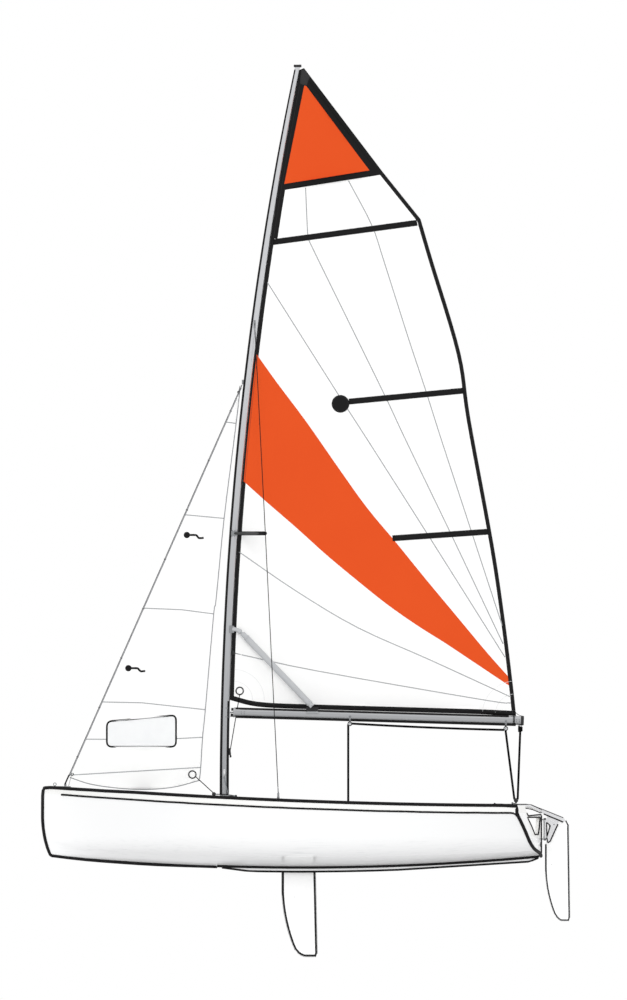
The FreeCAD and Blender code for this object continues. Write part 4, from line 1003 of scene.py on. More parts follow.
# Chafe strip: black vinyl bonded round the mast's forward face against the jib and its halyard, and round
# the aft face below the sail's tack, where the control lines run.
STRIP_TURN = 58.0            # how far round the tube it reaches on each side, in degrees
STRIP_THICK = 0.0012


def mast_strip(low, high, way, steps):
    """A thin strip wrapped round the mast's forward (1) or aft (-1) face between two heights."""
    turns = [STRIP_TURN * (k / 8 - 1) for k in range(17)]
    shell = []
    for i in range(steps + 1):
        z = low + (high - low) * i / steps
        middle = (mast_face(z, 1).x + mast_face(z, -1).x) / 2
        row = []
        for degrees in turns:
            out = Vector((math.cos(math.radians(degrees)) * way, math.sin(math.radians(degrees)), 0.0))
            row.append((hit(["mast"], Vector((middle, 0.0, z)) + out * 0.2, -out)[0], out))
        shell.append([p + out * STRIP_THICK for p, out in row]
                     + [p - out * 0.0006 for p, out in reversed(row)])
    return lofted(shell, ends=False, inside_out=way > 0)


STRIP_FOOT, STRIP_AFT_TOP = 0.48, 1.275
head_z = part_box("mast")[1].z - 0.02
strips = [mast_strip(STRIP_FOOT, head_z, 1, 60), mast_strip(STRIP_FOOT, STRIP_AFT_TOP, -1, 10)]
piece("mast_chafe_strip", strips, rubber)

# Luff groove: its dark mouth, cut through the aft face from just above the boom to the head.
GROOVE_FOOT = 1.24
mouth = [mast_face(GROOVE_FOOT + (head_z - GROOVE_FOOT) * k / 40, -1) + Vector((0.0015, 0, 0))
         for k in range(41)]
piece("luff_groove", tube(mouth, 0.0026, 6), rubber)

# Track lips: the two raised edges of the extruded groove.
TRACK_FOOT = 1.16
lips = []
for y in (-0.0062, 0.0062):
    line = [mast_face(TRACK_FOOT + (head_z - TRACK_FOOT) * k / 50, -1) + Vector((0.0030, y, 0))
            for k in range(51)]
    lips.append(tube(line, 0.0024, 6))
piece("luff_track", lips, aluminium)

# Rivets: stainless domes in pairs at each fitting on the mast's sides.
rivets = []
for z, shares in ((2.724, (0.35, 0.65)), (2.676, (0.35, 0.65)), (4.505, (0.5,)), (4.452, (0.5,)),
                  (1.215, (0.25, 0.4)),
                  (1.14, (0.25, 0.4)), (0.52, (0.3, 0.7)), (1.86, (0.3,)), (1.91, (0.3,))):
    for share in shares:
        where, normal = mast_side(z, share)
        rivets.append(screw_head(where, normal, 0.0048))
        rivets.append(screw_head((where.x, -where.y, where.z), (normal.x, -normal.y, normal.z), 0.0048))
piece("mast_rivets", rivets, steel)

# Masthead: a sheave in the cap for the main halyard, which runs down inside the mast.
cap_low, cap_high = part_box("masthead_cap")
sheave = turned(((-0.006, 0.013), (-0.004, 0.0145), (-0.001, 0.012), (0.001, 0.012), (0.004, 0.0145),
                 (0.006, 0.013)),
                (cap_low.x + 0.012, 0.0, (cap_low.z + cap_high.z) / 2), (0, 1, 0))
piece("masthead_sheave", sheave, aluminium)
EXIT_Z = 0.66
exits = []
for y_turn in (1, -1):
    where, normal = mast_side(EXIT_Z)
    exits.append(slab((where.x, where.y * y_turn, where.z), (0, 0, 1), (1, 0, 0), (0, y_turn, 0),
                      (0.075, 0.02, 0.0022), 0.009))
piece("halyard_exits", exits, aluminium)

# Halyards: they leave the mast just above the deck and are made off on the clam cleats beside it, each
# cut short to a stopper knot.
HALYARD_R = 0.0030
tails = []
for turn in (1, -1):
    where, normal = mast_side(EXIT_Z - 0.02)
    deck_here = deck_height(0.52, 0.15)
    line = bent([(where.x, (where.y + 0.001) * turn, where.z),
                 (where.x - 0.004, (where.y + 0.012) * turn, where.z - 0.03),
                 (0.545, 0.120 * turn, deck_here + 0.030), (0.520, 0.150 * turn, deck_here + 0.021),
                 (0.492, 0.163 * turn, deck_here + 0.016)], 5)
    tails += [tube(line, HALYARD_R, 8), knot(line[-1], HALYARD_R)]
piece("halyard_tails", tails, grey_rope)

# Cleat jaws: ribbed inserts in the four clam cleats.
jaws = []
for y in (-0.15, -0.095, 0.095, 0.15):
    top = hit(["control_cleats"], (0.52, y + 0.006, 1.0), (0, 0, -1))[0].z
    for k in range(5):
        jaws.append(tube([(0.504 + k * 0.008, y - 0.006, top + 0.0004),
                          (0.507 + k * 0.008, y + 0.006, top + 0.0004)],
                         0.0016, 6))
piece("cleat_jaws", jaws, aluminium)

# ======== standing rigging ========
# Two shrouds over the spreaders and a forestay, of stainless wire with swaged ends, hold up the mast. The
# wire is laid up from nineteen strands: bright, with a fine helical glint and dark hollows, which are painted
# into its colour as stripes of painted highlight and painted shade along the lay.
wire, tree, shader, place = finish("stainless_wire", Metallic=1.0, Roughness=0.35)
# The lay of the strands is really 1.5 mm wide; it is drawn at 6 mm so that it shows.
LAY = 0.006
laid = add(tree, "TexWave", {"Vector": place, "Scale": 2 * math.pi / LAY / 20},
           bands_direction="DIAGONAL")
# Painted highlight and shade: lighter stripes for the strands' glint, darker ones for their shaded hollows.
tone = add(tree, "MixRGB", {"Fac": laid, "Color1": "#1E1F20", "Color2": "#4C4D4F"})
bump = add(tree, "Bump", {"Height": laid, "Strength": 0.6, "Distance": 0.0005})
feed(shader, {"Base Color": tone, "Normal": bump})
coat(wire, "shrouds", "forestay")

# Swaged ends of the shrouds and the stay, black vinyl covers over the shrouds' wires, and the clevis pins
# that hold the adjusters in the chainplates.
chain_low, chain_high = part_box("chainplates")
adjuster_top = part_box("shroud_adjusters")[1].z
chain_x, chain_y = (chain_low.x + chain_high.x) / 2, 0.822
TIP = Vector((0.231, 0.440, 2.700))
HOUNDS_Z = 4.482
# A clevis pin with its two heads: distances along it and radii.
PIN = ((-0.0125, 0.0055), (-0.0105, 0.0055), (-0.0105, 0.0035), (0.0105, 0.0035), (0.0105, 0.0055),
       (0.0125, 0.0055))
ends, covers = [], []
for turn in (1, -1):
    foot = Vector((chain_x, chain_y * turn, adjuster_top - 0.004))
    tip = Vector((TIP.x, TIP.y * turn, TIP.z))
    tang, _ = mast_side(HOUNDS_Z)
    for end in (foot, Vector((tang.x, (tang.y + 0.007) * turn, HOUNDS_Z))):
        run = (tip - end).normalized()
        ends.append(tube([end, end + run * 0.045, end + run * 0.05], [0.0048, 0.0048, 0.0030], 12))
        covers.append(tube([end + run * 0.055, tip - run * 0.004], 0.0036, 10))
    ends.append(turned(PIN, (chain_x, chain_y * turn, chain_high.z - 0.009), (0, 1, 0), 12))
stay_foot, stay_head = Vector((1.931, 0, 0.575)), Vector((0.430, 0, 3.962))
stay_run = (stay_head - stay_foot).normalized()
for end, run in ((stay_foot, stay_run), (stay_head, -stay_run)):
    ends.append(tube([end, end + run * 0.05, end + run * 0.055], [0.0046, 0.0046, 0.003], 12))
piece("wire_terminals", ends, steel)
piece("shroud_covers", covers, rubber)
boot = [stay_foot + stay_run * (reach - 0.012) for reach in (0.0, 0.004, 0.086, 0.092)]
piece("stay_boot", tube(boot, [0.0050, 0.0066, 0.0064, 0.0045], 16), rubber)

# Spreader sleeves: thick black vinyl over the spreaders and the wire at their ends, against chafe.
boots = []
for turn in (1, -1):
    tip = Vector((TIP.x, TIP.y * turn, TIP.z))
    root = hit(["mast"], (0.47, 1.0 * turn, TIP.z), (0, -turn, 0))[0]
    arm = (tip - Vector((0.462, root.y, TIP.z))).normalized()
    start = tip - arm * 0.440
    boots.append(tube([start, start + arm * 0.004, tip - arm * 0.004, tip + arm * 0.006, tip + arm * 0.010],
                      [0.0150, 0.0175, 0.0170, 0.0130, 0.0060], 20))
piece("spreader_sleeves", boots, rubber)

# ======== boom and kicker ========
# The boom is an oval extrusion, anodised like the mast, with a nylon nose and end cap. It slopes slightly
# down to its aft end. A rigid tubular strut from the mast holds it up and down.
boom_metal, tree, shader, place = finish("anodised_boom", "anodised_aluminium", Metallic=1.0)
# Satin anodising again, with painted light and shade: its upper side is painted lighter and its underside
# painted dark, by the way each face points.
drawn = add(tree, "Mapping", {"Vector": place, "Scale": (0.8, 120.0, 120.0)})
dies = add(tree, "TexNoise", {"Vector": drawn, "Scale": 2.0, "Detail": 3.0})
# Painted light and shade: the tone runs from light where the surface faces up to dark where it faces down.
facing = add(tree, "SeparateXYZ", {"Vector": place.outputs["Normal"]})
under = add(tree, "MapRange", {"Value": facing.outputs["Z"], "From Min": 0.7, "From Max": -0.8})
satin_with_painted_shade = add(tree, "MixRGB", {"Fac": under, "Color1": "#F2F3F4", "Color2": "#66686A"})
tone = add(tree, "MixRGB", {"Fac": dies, "Color1": satin_with_painted_shade, "Color2": "#B0B2B4"})
gloss = add(tree, "MapRange", {"Value": dies, "To Min": 0.3, "To Max": 0.45})
feed(shader, {"Base Color": tone, "Roughness": gloss})
coat(boom_metal, "boom")
# Powder-coated alloy: an even pale grey with a very fine orange peel, rubbed a little darker by ropes.
coating = mottled("pale_powder_coat", "anodised_aluminium", ("#B5B7B9", "#BDBFC1"), (9.0, 5.0),
                  grain=(300.0, 2.0, 0.12, 0.0003), Roughness=0.45, Specular_IOR_Level=0.3)
coat(coating, "kicker_strut")

GOOSENECK = Vector((0.495, 0.0, 1.178))
SLOPE = math.radians(1.65)
BOOM_WIDE, BOOM_HIGH = 0.060, 0.077


def on_boom(distance, across_=0.0, up=0.0):
    """A point in the boom's own directions, from the gooseneck: aft along it, to port and up."""
    return GOOSENECK + Vector((-math.cos(SLOPE) * distance - math.sin(SLOPE) * up, across_,
                               -math.sin(SLOPE) * distance + math.cos(SLOPE) * up))


def round_boom(distance, clear):
    """A loop round the boom at a distance along it, this far off its surface."""
    flat, r = BOOM_HIGH / 2 - BOOM_WIDE / 2, BOOM_WIDE / 2 + clear
    return [on_boom(distance, math.cos(a) * r, math.sin(a) * r + (flat if math.sin(a) > 0 else -flat))
            for a in angles(28)]


# Boom fittings: rivets of the end cap and nose, pressed-steel straps that the blocks hang from, and the
# eye at the boom's end for the mainsheet's dead end.
END_EYE_AT = 2.434
BLOCKS_AT = (2.311, 0.985)   # distances of the after and the forward block along the boom
rivets = []
for distance in (0.060, 0.085, 2.400, 2.425):
    for up in (-0.018, 0.018):
        for turn in (1, -1):
            rivets.append(screw_head(on_boom(distance, BOOM_WIDE / 2 * turn, up * 0.4), (0, turn, 0), 0.0045))
for distance in BLOCKS_AT:
    for turn in (1, -1):
        rivets.append(slab(on_boom(distance, 0.0295 * turn, -0.022), (0, 0, 1), (1, 0, 0), (0, turn, 0),
                           (0.045, 0.018, 0.0024), 0.006))
        rivets.append(screw_head(on_boom(distance, 0.0318 * turn, -0.012), (0, turn, 0), 0.004))
end_eye = on_boom(END_EYE_AT, 0.0, -BOOM_HIGH / 2 - 0.010)
loop = [end_eye + Vector((math.cos(a) * 0.012, 0.0, math.sin(a) * 0.012)) for a in angles(20)]
rivets.append(tube(loop, 0.0028, 8, closed=True))
rivets.append(slab(on_boom(END_EYE_AT, 0.0, -BOOM_HIGH / 2 - 0.0005), (1, 0, 0), (0, 1, 0), (0, 0, -1),
                   (0.040, 0.020, 0.003), 0.006))
piece("boom_rivets", rivets, steel, "swinging_rig")

# Boom bumper: black foam-backed vinyl bonded along the boom's underside to soften a knock, and thinner
# along its top, where the sail's foot chafes.
BUMPER_TURN = 52.0           # how far round the boom it reaches on each side, in degrees


def boom_strip(way, thick, far):
    """A strip along the boom's top (1) or underside (-1): how thick it is, and where it ends."""
    rows = []
    for distance in (0.010, far):
        row = []
        for clear, order in ((thick, 1), (-0.0008, -1)):
            row += [on_boom(distance, math.cos(a) * (BOOM_WIDE / 2 + clear) * way,
                            (math.sin(a) * (BOOM_WIDE / 2 + clear) + (BOOM_HIGH - BOOM_WIDE) / 2) * way)
                    for a in [math.radians(90 + BUMPER_TURN * (k / 8 - 1)) for k in range(17)]][::order]
        rows.append(row)
    return lofted(rows)


piece("boom_bumper", [boom_strip(-1, 0.0090, 2.395), boom_strip(1, 0.0046, 2.335)], rubber, "swinging_rig",
      smooth=False)

# Nose cheeks: two pressed alloy plates, anodised with the boom, that wrap the sides of its nylon nose.
cheeks = []
for middle in (0, 14):
    rows = []
    for distance in (-0.008, 0.050):
        outer, inner = round_boom(distance, 0.0016), round_boom(distance, -0.0006)
        picked = [(middle + k) % 28 for k in range(-5, 6)]
        rows.append([outer[k] for k in picked] + [inner[k] for k in reversed(picked)])
    cheeks.append(lofted(rows))
piece("nose_cheeks", cheeks, boom_metal, "swinging_rig", smooth=False)

# Boom blocks: pale cheeks on the black bodies, with a stainless axle through each. The cheeks are moulded in
# glass-filled grey acetal, which is smooth and a little waxy, with flow marks.
pale = mottled("pale_grey_composite", "black_plastic", ("#C3C5C7", "#D3D5D6"), (45.0, 3.0), Roughness=0.4)
cheeks, axles = [], []
BLOCKS = [on_boom(at, 0.0, -BOOM_HIGH / 2 - drop) for at, drop in zip(BLOCKS_AT, (0.032, 0.030))]
for middle in BLOCKS:
    for turn in (1, -1):
        face = middle + PORT * (0.0100 * turn)
        cheeks.append(turned(((-0.001, 0.0125), (0.0012, 0.0120), (0.0018, 0.0105), (0.0018, 0.004)), face,
                             (0, turn, 0), 24))
        axles.append(screw_head(face + PORT * 0.0018 * turn, (0, turn, 0), 0.0042))
piece("boom_block_cheeks", cheeks, pale, "swinging_rig")
piece("boom_block_axles", axles, steel, "swinging_rig")

# Strut sleeve and ends: a grey tube slid over the strut keeps the sail off it, between two clamp bands. The
# foot turns on a pin. The head is held to the mast's bracket by a flexible waisted link in the same grey.
strut_top = Vector((0.440, 0.054, 1.864))
strut_foot = Vector((-0.168, 0.054, 0.0))
strut_foot.z = GOOSENECK.z + BOOM_HIGH / 2 + (strut_foot.x - GOOSENECK.x) * math.sin(SLOPE) + 0.032
strut_run = (strut_top - strut_foot).normalized()
bands = []
for reach in (0.030, 0.800):
    a = strut_foot + strut_run * reach
    bands.append(turned(((0.0, 0.0221), (0.001, 0.0270), (0.013, 0.0270), (0.014, 0.0221)), a, strut_run, 28))
strut_sleeve = sleeve(strut_foot + strut_run * 0.043, strut_foot + strut_run * 0.801, 0.0218, 0.0262, 28)
piece("strut_sleeve", strut_sleeve, coating, "swinging_rig")
piece("strut_bands", bands, coating, "swinging_rig")
slide_low, slide_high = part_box("kicker_slide")
slider, tree, shader, place = finish("slide_acetal_and_alloy", Roughness=0.45, Specular_IOR_Level=0.3)
# The slide's black acetal body, scuffed grey, over a powder-coated alloy clamp on the boom's sides.
scuffs = add(tree, "TexNoise", {"Vector": place, "Scale": 60.0, "Detail": 6.0})
acetal = add(tree, "MixRGB", {"Fac": scuffs, "Color1": "#161617", "Color2": "#29292A"})
alloy = add(tree, "MixRGB", {"Fac": scuffs, "Color1": "#9C9EA0", "Color2": "#A9ABAD"})
height = add(tree, "SeparateXYZ", {"Vector": place})
CLAMP_Z = on_boom(GOOSENECK.x - slide_low.x / 2 - slide_high.x / 2, 0.0, BOOM_HIGH / 2 - 0.012).z
parting = add(tree, "MapRange", {"Value": height.outputs["Z"], "From Min": CLAMP_Z - 0.0004,
                                 "From Max": CLAMP_Z + 0.0004})
tone = add(tree, "MixRGB", {"Fac": parting, "Color1": alloy, "Color2": acetal})
feed(shader, {"Base Color": tone})
coat(slider, "kicker_slide")
pins = [screw_head((strut_foot.x + 0.002, strut_foot.y + 0.0225 * turn, strut_foot.z + 0.004), (0, turn, 0),
                   0.006)
        for turn in (1, -1)]
piece("strut_pins", pins, steel, "swinging_rig")
bracket_low, bracket_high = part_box("kicker_bracket")
hold = Vector((bracket_low.x + 0.010, 0.032, (bracket_low.z + bracket_high.z) / 2 + 0.002))
top_hold = strut_top - strut_run * 0.004
waist = bent([hold, hold.lerp(top_hold, 0.5) + Vector((0.004, 0.004, 0.008)), top_hold], 6)
LINK_RADII = [0.0170, 0.0190, 0.0190, 0.0180, 0.0172, 0.0168, 0.0168, 0.0172, 0.0180, 0.0190, 0.0205, 0.0210,
              0.0200]
link = tube(waist, LINK_RADII, 24)
strut_link = piece("strut_link", link, coating, None, slot="black_plastic")
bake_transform(strut_link)

# Outhaul: from the clew to the boom's end, into the end cap and forward along the boom's side to a cleat.
out_cleat = on_boom(0.62, -BOOM_WIDE / 2 - 0.001, -0.004)
piece("outhaul_cleat", slab(out_cleat, (1, 0, 0), (0, 0, 1), (0, -1, 0), (0.06, 0.02, 0.012), 0.006), nylon,
      "swinging_rig")
line = sagging(on_boom(2.40, -BOOM_WIDE / 2 - 0.004, -0.004), out_cleat + Vector((0.0, -0.008, 0.0)), 0.004,
               16)
line += [out_cleat + Vector((0.036, -0.008, -0.001))]
piece("outhaul", [tube(line, 0.0020, 8), knot(line[-1], 0.0024)], grey_rope, "swinging_rig")

# ======== mainsail ========
# Stitched from radial panels of woven polyester, with black tape round its edges, an orange head panel and
# an orange flash. Its luff runs in the mast's groove; three battens hold out the curved leech.
SWING_FOOT = GOOSENECK
SWING_HEAD = Vector((-0.092, 0.0, 6.655))
MAIN_DEPTH = 0.035
LEECH_TABLE = ((1.100, -1.926), (2.606, -1.726), (4.235, -1.444), (5.371, -1.106), (6.700, -0.174))
CLOTH = 0.0008               # half the thickness of the sails
TACK_RING = (0.449, 1.361)
CLEW = (-1.880, 1.185)


def between(value, table):
    for (a, x0), (b, x1) in zip(table, table[1:]):
        if value <= b:
            break
    return x0 + (x1 - x0) * (value - a) / (b - a)


def swing_x(z):
    return SWING_FOOT.x + (z - SWING_FOOT.z) * (SWING_HEAD.x - SWING_FOOT.x) / (SWING_HEAD.z - SWING_FOOT.z)


def boom_top(x):
    return GOOSENECK.z + BOOM_HIGH / 2 + (x - GOOSENECK.x) * math.sin(SLOPE)


def creases(x, z, where, folds, deep, reach):
    """Tension folds that fan out from a loaded corner and fade with distance."""
    dx, dz = x - where[0], z - where[1]
    away = math.hypot(dx, dz)
    rise = min(1.0, (away / 0.30) ** 2)
    return deep * math.sin(folds * math.atan2(dz, dx)) * rise * math.exp(-away / reach)


def on_main(x, z, off):
    """A point of the mainsail's surface: a circular-looking belly to starboard, aft of the swing line."""
    front, back = swing_x(z), between(z, LEECH_TABLE)
    share = (front - x) / (front - back)
    belly = -4 * MAIN_DEPTH * (front - back) * share * (1 - share) if share > 0 else 0.0
    ripple = 0.0
    if share > 0:
        ease = min(1.0, share * 6)
        ripple = creases(x, z, TACK_RING, 9, 0.0040, 0.6) + creases(x, z, CLEW, 11, 0.0040, 0.8)
        ripple += 0.0022 * math.sin(2.1 * z + 1.3 * x) * math.sin(4.3 * x - 0.8 * z)
        ripple *= ease * min(1.0, max(0.0, (z - boom_top(x)) / 0.15))
    return Vector((x, belly + ripple + off, z))


def flat_bent(points, steps=6):
    """A smooth line through flat points."""
    return [(p.x, p.y) for p in bent([(a, b, 0.0) for a, b in points], steps)]


def beside(line, distance):
    """A line beside another, to the left of the way it runs for a positive distance."""
    shifted = []
    for i, (u, v) in enumerate(line):
        a, b = line[max(i - 1, 0)], line[min(i + 1, len(line) - 1)]
        run = Vector((b[0] - a[0], b[1] - a[1])).normalized()
        shifted.append((u - run.y * distance, v + run.x * distance))
    return shifted


LUFF_HEIGHTS = [1.283 + (6.640 - 1.283) * k / 60 for k in range(61)]
luff = [(mast_face(z, -1).x - 0.0012, z) for z in LUFF_HEIGHTS]
leech = [(-0.098, 6.655), (-0.768, 5.771), (-1.089, 5.371)]
roach = flat_bent([(-1.089, 5.371), (-1.191, 5.024), (-1.427, 4.235), (-1.514, 3.664), (-1.709, 2.606),
                   (-1.806, 1.956), (-1.872, 1.420), (-1.899, 1.165)], 6)
leech += roach[1:]
foot = [(x, boom_top(x) + 0.0066) for x in (-1.900, -1.6, -1.2, -0.8, -0.4, -0.02)]
foot[0] = (-1.901, boom_top(-1.901) + 0.0012)
foot += flat_bent([(-0.02, boom_top(-0.02) + 0.0066), (0.200, 1.2180), (0.360, 1.2370), luff[0]], 5)[1:-1]
main_outline = luff + leech + foot

EDGE_TAPE = 0.034
HEAD_TAPE = 0.060
luff_tape = luff + list(reversed(beside(luff, EDGE_TAPE)))
leech_tape = leech + list(reversed(beside(leech, EDGE_TAPE)))
foot_line = [leech[-1]] + foot + [luff[0]]
foot_tape = foot_line[1:] + list(reversed(beside(foot_line[1:], 0.042)))
upper_luff = luff[44:]
upper_tape = upper_luff + list(reversed(beside(upper_luff, HEAD_TAPE)))
head_panel = [(0.30, 5.582), (0.104, 5.613), (-0.756, 5.749), (-0.98, 5.784), (-0.98, 6.80), (0.30, 6.80)]
head_flash = [(-0.103, 6.522), (-0.654, 5.785), (0.070, 5.670)]
flash_upper = flat_bent([(0.410, 4.365), (0.306, 4.225), (0.136, 3.987), (-0.119, 3.647), (-0.374, 3.281),
                         (-0.629, 2.924), (-0.884, 2.618), (-1.139, 2.304), (-1.394, 1.998), (-1.649, 1.692),
                         (-1.819, 1.500), (-1.875, 1.438)], 4)
flash_lower = flat_bent([(-1.875, 1.384), (-1.819, 1.420), (-1.564, 1.590), (-1.309, 1.760), (-1.054, 1.921),
                         (-0.799, 2.100), (-0.544, 2.304), (-0.289, 2.516), (-0.034, 2.746), (0.221, 2.967),
                         (0.391, 3.120), (0.505, 3.222)], 4)
bolt_rope = luff + list(reversed(beside(luff, 0.016)))
main_flash = flash_upper + flash_lower


def cloth(name, light, dark, rough):
    """Woven polyester, resin-finished: firm, slightly shiny, with a fine square weave."""
    made, tree, shader, place = finish(name, "sailcloth", Roughness=rough, Specular_IOR_Level=0.22)
    # Threads are really 0.4 mm apart; they are drawn at 4 mm so that they show.
    thread = 2 * math.pi / 0.004 / 20
    warp = add(tree, "TexWave", {"Vector": place.outputs["UV"], "Scale": thread}, bands_direction="X")
    weft = add(tree, "TexWave", {"Vector": place.outputs["UV"], "Scale": thread}, bands_direction="Y")
    weave = add(tree, "Math", {0: warp, 1: weft}, operation="ADD")
    clouds = add(tree, "TexNoise", {"Vector": place.outputs["UV"], "Scale": 1.7, "Detail": 5.0})
    tone = add(tree, "MixRGB", {"Fac": clouds, "Color1": dark, "Color2": light})
    bump = add(tree, "Bump", {"Height": weave, "Strength": 0.12, "Distance": 0.0004})
    feed(shader, {"Base Color": tone, "Normal": bump})
    return made


white_cloth = cloth("white_sailcloth", "#FDFDFC", "#F8F8F7", 0.55)
black_tape = cloth("black_edge_tape", "#171617", "#101010", 0.7)
orange_cloth = cloth("orange_sailcloth", "#E35218", "#DE4C14", 0.6)
shape, regions = patchwork(main_outline, [main_flash, luff_tape, leech_tape, foot_tape, upper_tape,
                                          head_panel, head_flash, bolt_rope], 0.033, on_main, CLOTH)
CLOTHS = (0, 2, 1, 1, 1, 1, 1, 2, 1)   # each patch's material: white, black or orange
# The flash is laid over the luff tape where they cross, but not over the rope sewn into the luff.
flash_shape = anticlockwise(main_flash)
numbers = []
points, faces, _ = shape
for face, number in zip(faces, regions):
    middle = sum((Vector(points[i]) for i in face), Vector()) / len(face)
    crossing = number == 2 and contains(flash_shape, middle.x, middle.z)
    numbers.append(2 if crossing else CLOTHS[number])
main = piece("mainsail_cloth", shape, [white_cloth, black_tape, orange_cloth], None, regions=numbers)
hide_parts("mainsail", "mainsail_luff")


def ribbon(line, wide, at, half, step=0.04):
    """A flat band along a line on a sail, standing proud on both faces."""
    fine = [Vector(line[0])]
    for a, b in zip(line, line[1:]):
        a, b = Vector(a), Vector(b)
        parts = max(1, int(math.ceil((b - a).length / step)))
        fine += [a.lerp(b, k / parts) for k in range(1, parts + 1)]
    flat = [(p.x, p.y) for p in fine]
    sides = zip(beside(flat, wide / 2), beside(flat, -wide / 2))
    verts, faces, _ = lofted([[at(*a, half), at(*b, half), at(*b, -half), at(*a, -half)] for a, b in sides])
    corners, run = [], 0.0
    for here, there in zip(fine, fine[1:]):
        before, run = run, run + (there - here).length
        for far in (1.0, 0.0, 1.0, 0.0):     # across the first face, one edge, the other face, the other edge
            corners += [(before, 0.0), (before, far), (run, far), (run, 0.0)]
    return verts, faces, corners + [(0.0, 0.0)] * 8


def on_the_main(name, shape, material):
    """A piece sewn to the mainsail."""
    made = piece(name, shape, material, None)
    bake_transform(made)


# Seams: panels overlap by 12 mm and are sewn down with two rows of grey zigzag. The band between the
# stitches is painted grey as well, a painted shade along the overlap.
seam, tree, shader, place = finish("sewn_seam", "sailcloth", Roughness=0.65)
# Stitches are really 5 mm long; they are drawn at 10 mm so that they show. UVs run along in metres.
stitch = add(tree, "Mapping", {"Vector": place.outputs["UV"], "Scale": (1 / 0.010, 3.0, 1.0)})
zigzag = add(tree, "TexChecker", {"Vector": stitch, "Scale": 1.0})
aged = add(tree, "TexNoise", {"Vector": place, "Scale": 6.0, "Detail": 3.0})
pale_thread = add(tree, "MixRGB", {"Fac": aged, "Color1": "#86888A", "Color2": "#9A9C9E"})
# Painted shade: the grey between the stitches stands in for shade along the overlap; the thread's grey is its
# own.
tone = add(tree, "MixRGB", {"Fac": zigzag, "Color1": pale_thread, "Color2": "#B4B6B8"})
bump = add(tree, "Bump", {"Height": zigzag, "Strength": 0.3, "Distance": 0.0005})
feed(shader, {"Base Color": tone, "Normal": bump})

MAIN_SEAMS = (
    ((0.214, 4.834), (-0.392, 3.876), (-0.638, 3.494), (-1.172, 2.655), (-1.806, 1.647)),
    ((-0.111, 5.640), (-0.129, 5.246), (-0.141, 5.187), (-0.448, 4.559), (-0.793, 3.855), (-0.962, 3.494),
     (-1.335, 2.720), (-1.790, 1.761)),
    ((-0.475, 5.699), (-0.672, 5.324), (-0.774, 5.024), (-0.977, 4.384), (-1.131, 3.919), (-1.266, 3.494),
     (-1.514, 2.737), (-1.783, 1.915)),
    ((0.454, 2.542), (-0.034, 2.208), (-0.554, 1.899), (-1.172, 1.623), (-1.856, 1.309)),
    ((0.486, 1.680), (-0.197, 1.533), (-1.628, 1.284), (-1.857, 1.258)))
SEAM_WIDE = 0.0085
strips = [ribbon(flat_bent(line, 4), SEAM_WIDE, on_main, CLOTH + 0.0005) for line in MAIN_SEAMS]
on_the_main("mainsail_seams", strips, seam)

# Edge stitching: two rows of zigzag hold each tape down, grey on black.
rows = []
for line, inset in ((luff, 0.026), (leech, 0.026), (foot_line, 0.030), (luff, 0.006), (leech, 0.006)):
    rows.append(ribbon(beside(line[1:-1], inset), 0.0022, on_main, CLOTH + 0.0007, 0.06))
# Bonded polyester thread, dulled by salt.
thread = mottled("grey_thread", "sailcloth", ("#1E1E20", "#343436"), (12.0, 4.0), Roughness=0.8)
on_the_main("mainsail_stitching", rows, thread)

# Batten pockets: black cloth sleeves over glass-fibre battens. The upper one runs right across; the middle
# one starts from a round patch that takes its thrust.
BATTENS = (((0.164, 5.176), (-1.059, 5.340), 0.050), ((-0.480, 3.820), (-1.455, 3.913), 0.050),
           ((-0.850, 2.658), (-1.664, 2.714), 0.050))
PATCH = ((-0.408, 3.801), 0.075)


def circle(middle, radius, sides=32):
    return [(middle[0] + radius * math.cos(a), middle[1] + radius * math.sin(a)) for a in angles(sides)]


sleeves = [ribbon((a, b), wide, on_main, CLOTH + 0.0022) for a, b, wide in BATTENS]
disc, _ = patchwork(circle(*PATCH), (), 0.03, on_main, CLOTH + 0.0030)
sleeves.append(disc)
on_the_main("mainsail_battens", sleeves, black_tape)
rows = []
for a, b, wide in BATTENS:
    for d in (-0.4, 0.4):
        rows.append(ribbon(beside((a, b), wide * d), 0.0020, on_main, CLOTH + 0.0025, 0.08))
around = circle(PATCH[0], PATCH[1] - 0.010, 40)
rows.append(ribbon(around + around[:1], 0.0020, on_main, CLOTH + 0.0033))
on_the_main("batten_stitching", rows, thread)

# Corner patches: layers of doubled cloth at the tack and clew, sewn in arcs that spread the load.
arcs = []
CORNER_ARCS = (((0.500, 1.283), 92, 182, (0.16, 0.26)), ((-1.895, 1.165), 4, 86, (0.17, 0.28)))
for corner, start_turn, end_turn, radii in CORNER_ARCS:
    for radius in radii:
        arc = [(corner[0] + radius * math.cos(math.radians(a)),
                corner[1] + radius * math.sin(math.radians(a)))
               for a in range(start_turn, end_turn, 4)]
        arc = [p for p in arc if contains(main_outline, *p)]
        arcs.append(ribbon(arc, 0.0030, on_main, CLOTH + 0.0004))
# White zigzag rows, painted a faint grey for their shadows on the cloth.
white_thread_painted_shadow = mottled("white_thread", "sailcloth", ("#D9DADB", "#E8E9E9"), (12.0, 4.0), Roughness=0.8)
on_the_main("mainsail_patches", arcs, white_thread_painted_shadow)


def ring(middle, radius, thick, at, sides=28):
    """A pressed ring through a sail."""
    loop = [at(*spot, 0.0) for spot in circle(middle, radius, sides)]
    return tube(loop, thick, 8, closed=True)


# Cunningham ring, clew ring and reefing eyes: pressed through the cloth, black where the coating is whole.
rings = [ring(TACK_RING, 0.031, 0.0060, on_main), ring(CLEW, 0.013, 0.0040, on_main)]
on_the_main("mainsail_rings", rings, nylon)
headboard = [(-0.070, 6.600), (-0.072, 6.642), (-0.098, 6.648), (-0.150, 6.580), (-0.120, 6.500),
             (-0.062, 6.520)]
board, _ = patchwork(rounded(headboard, 0.012), (), 0.03, on_main, CLOTH + 0.0012)
on_the_main("mainsail_headboard", board, nylon)
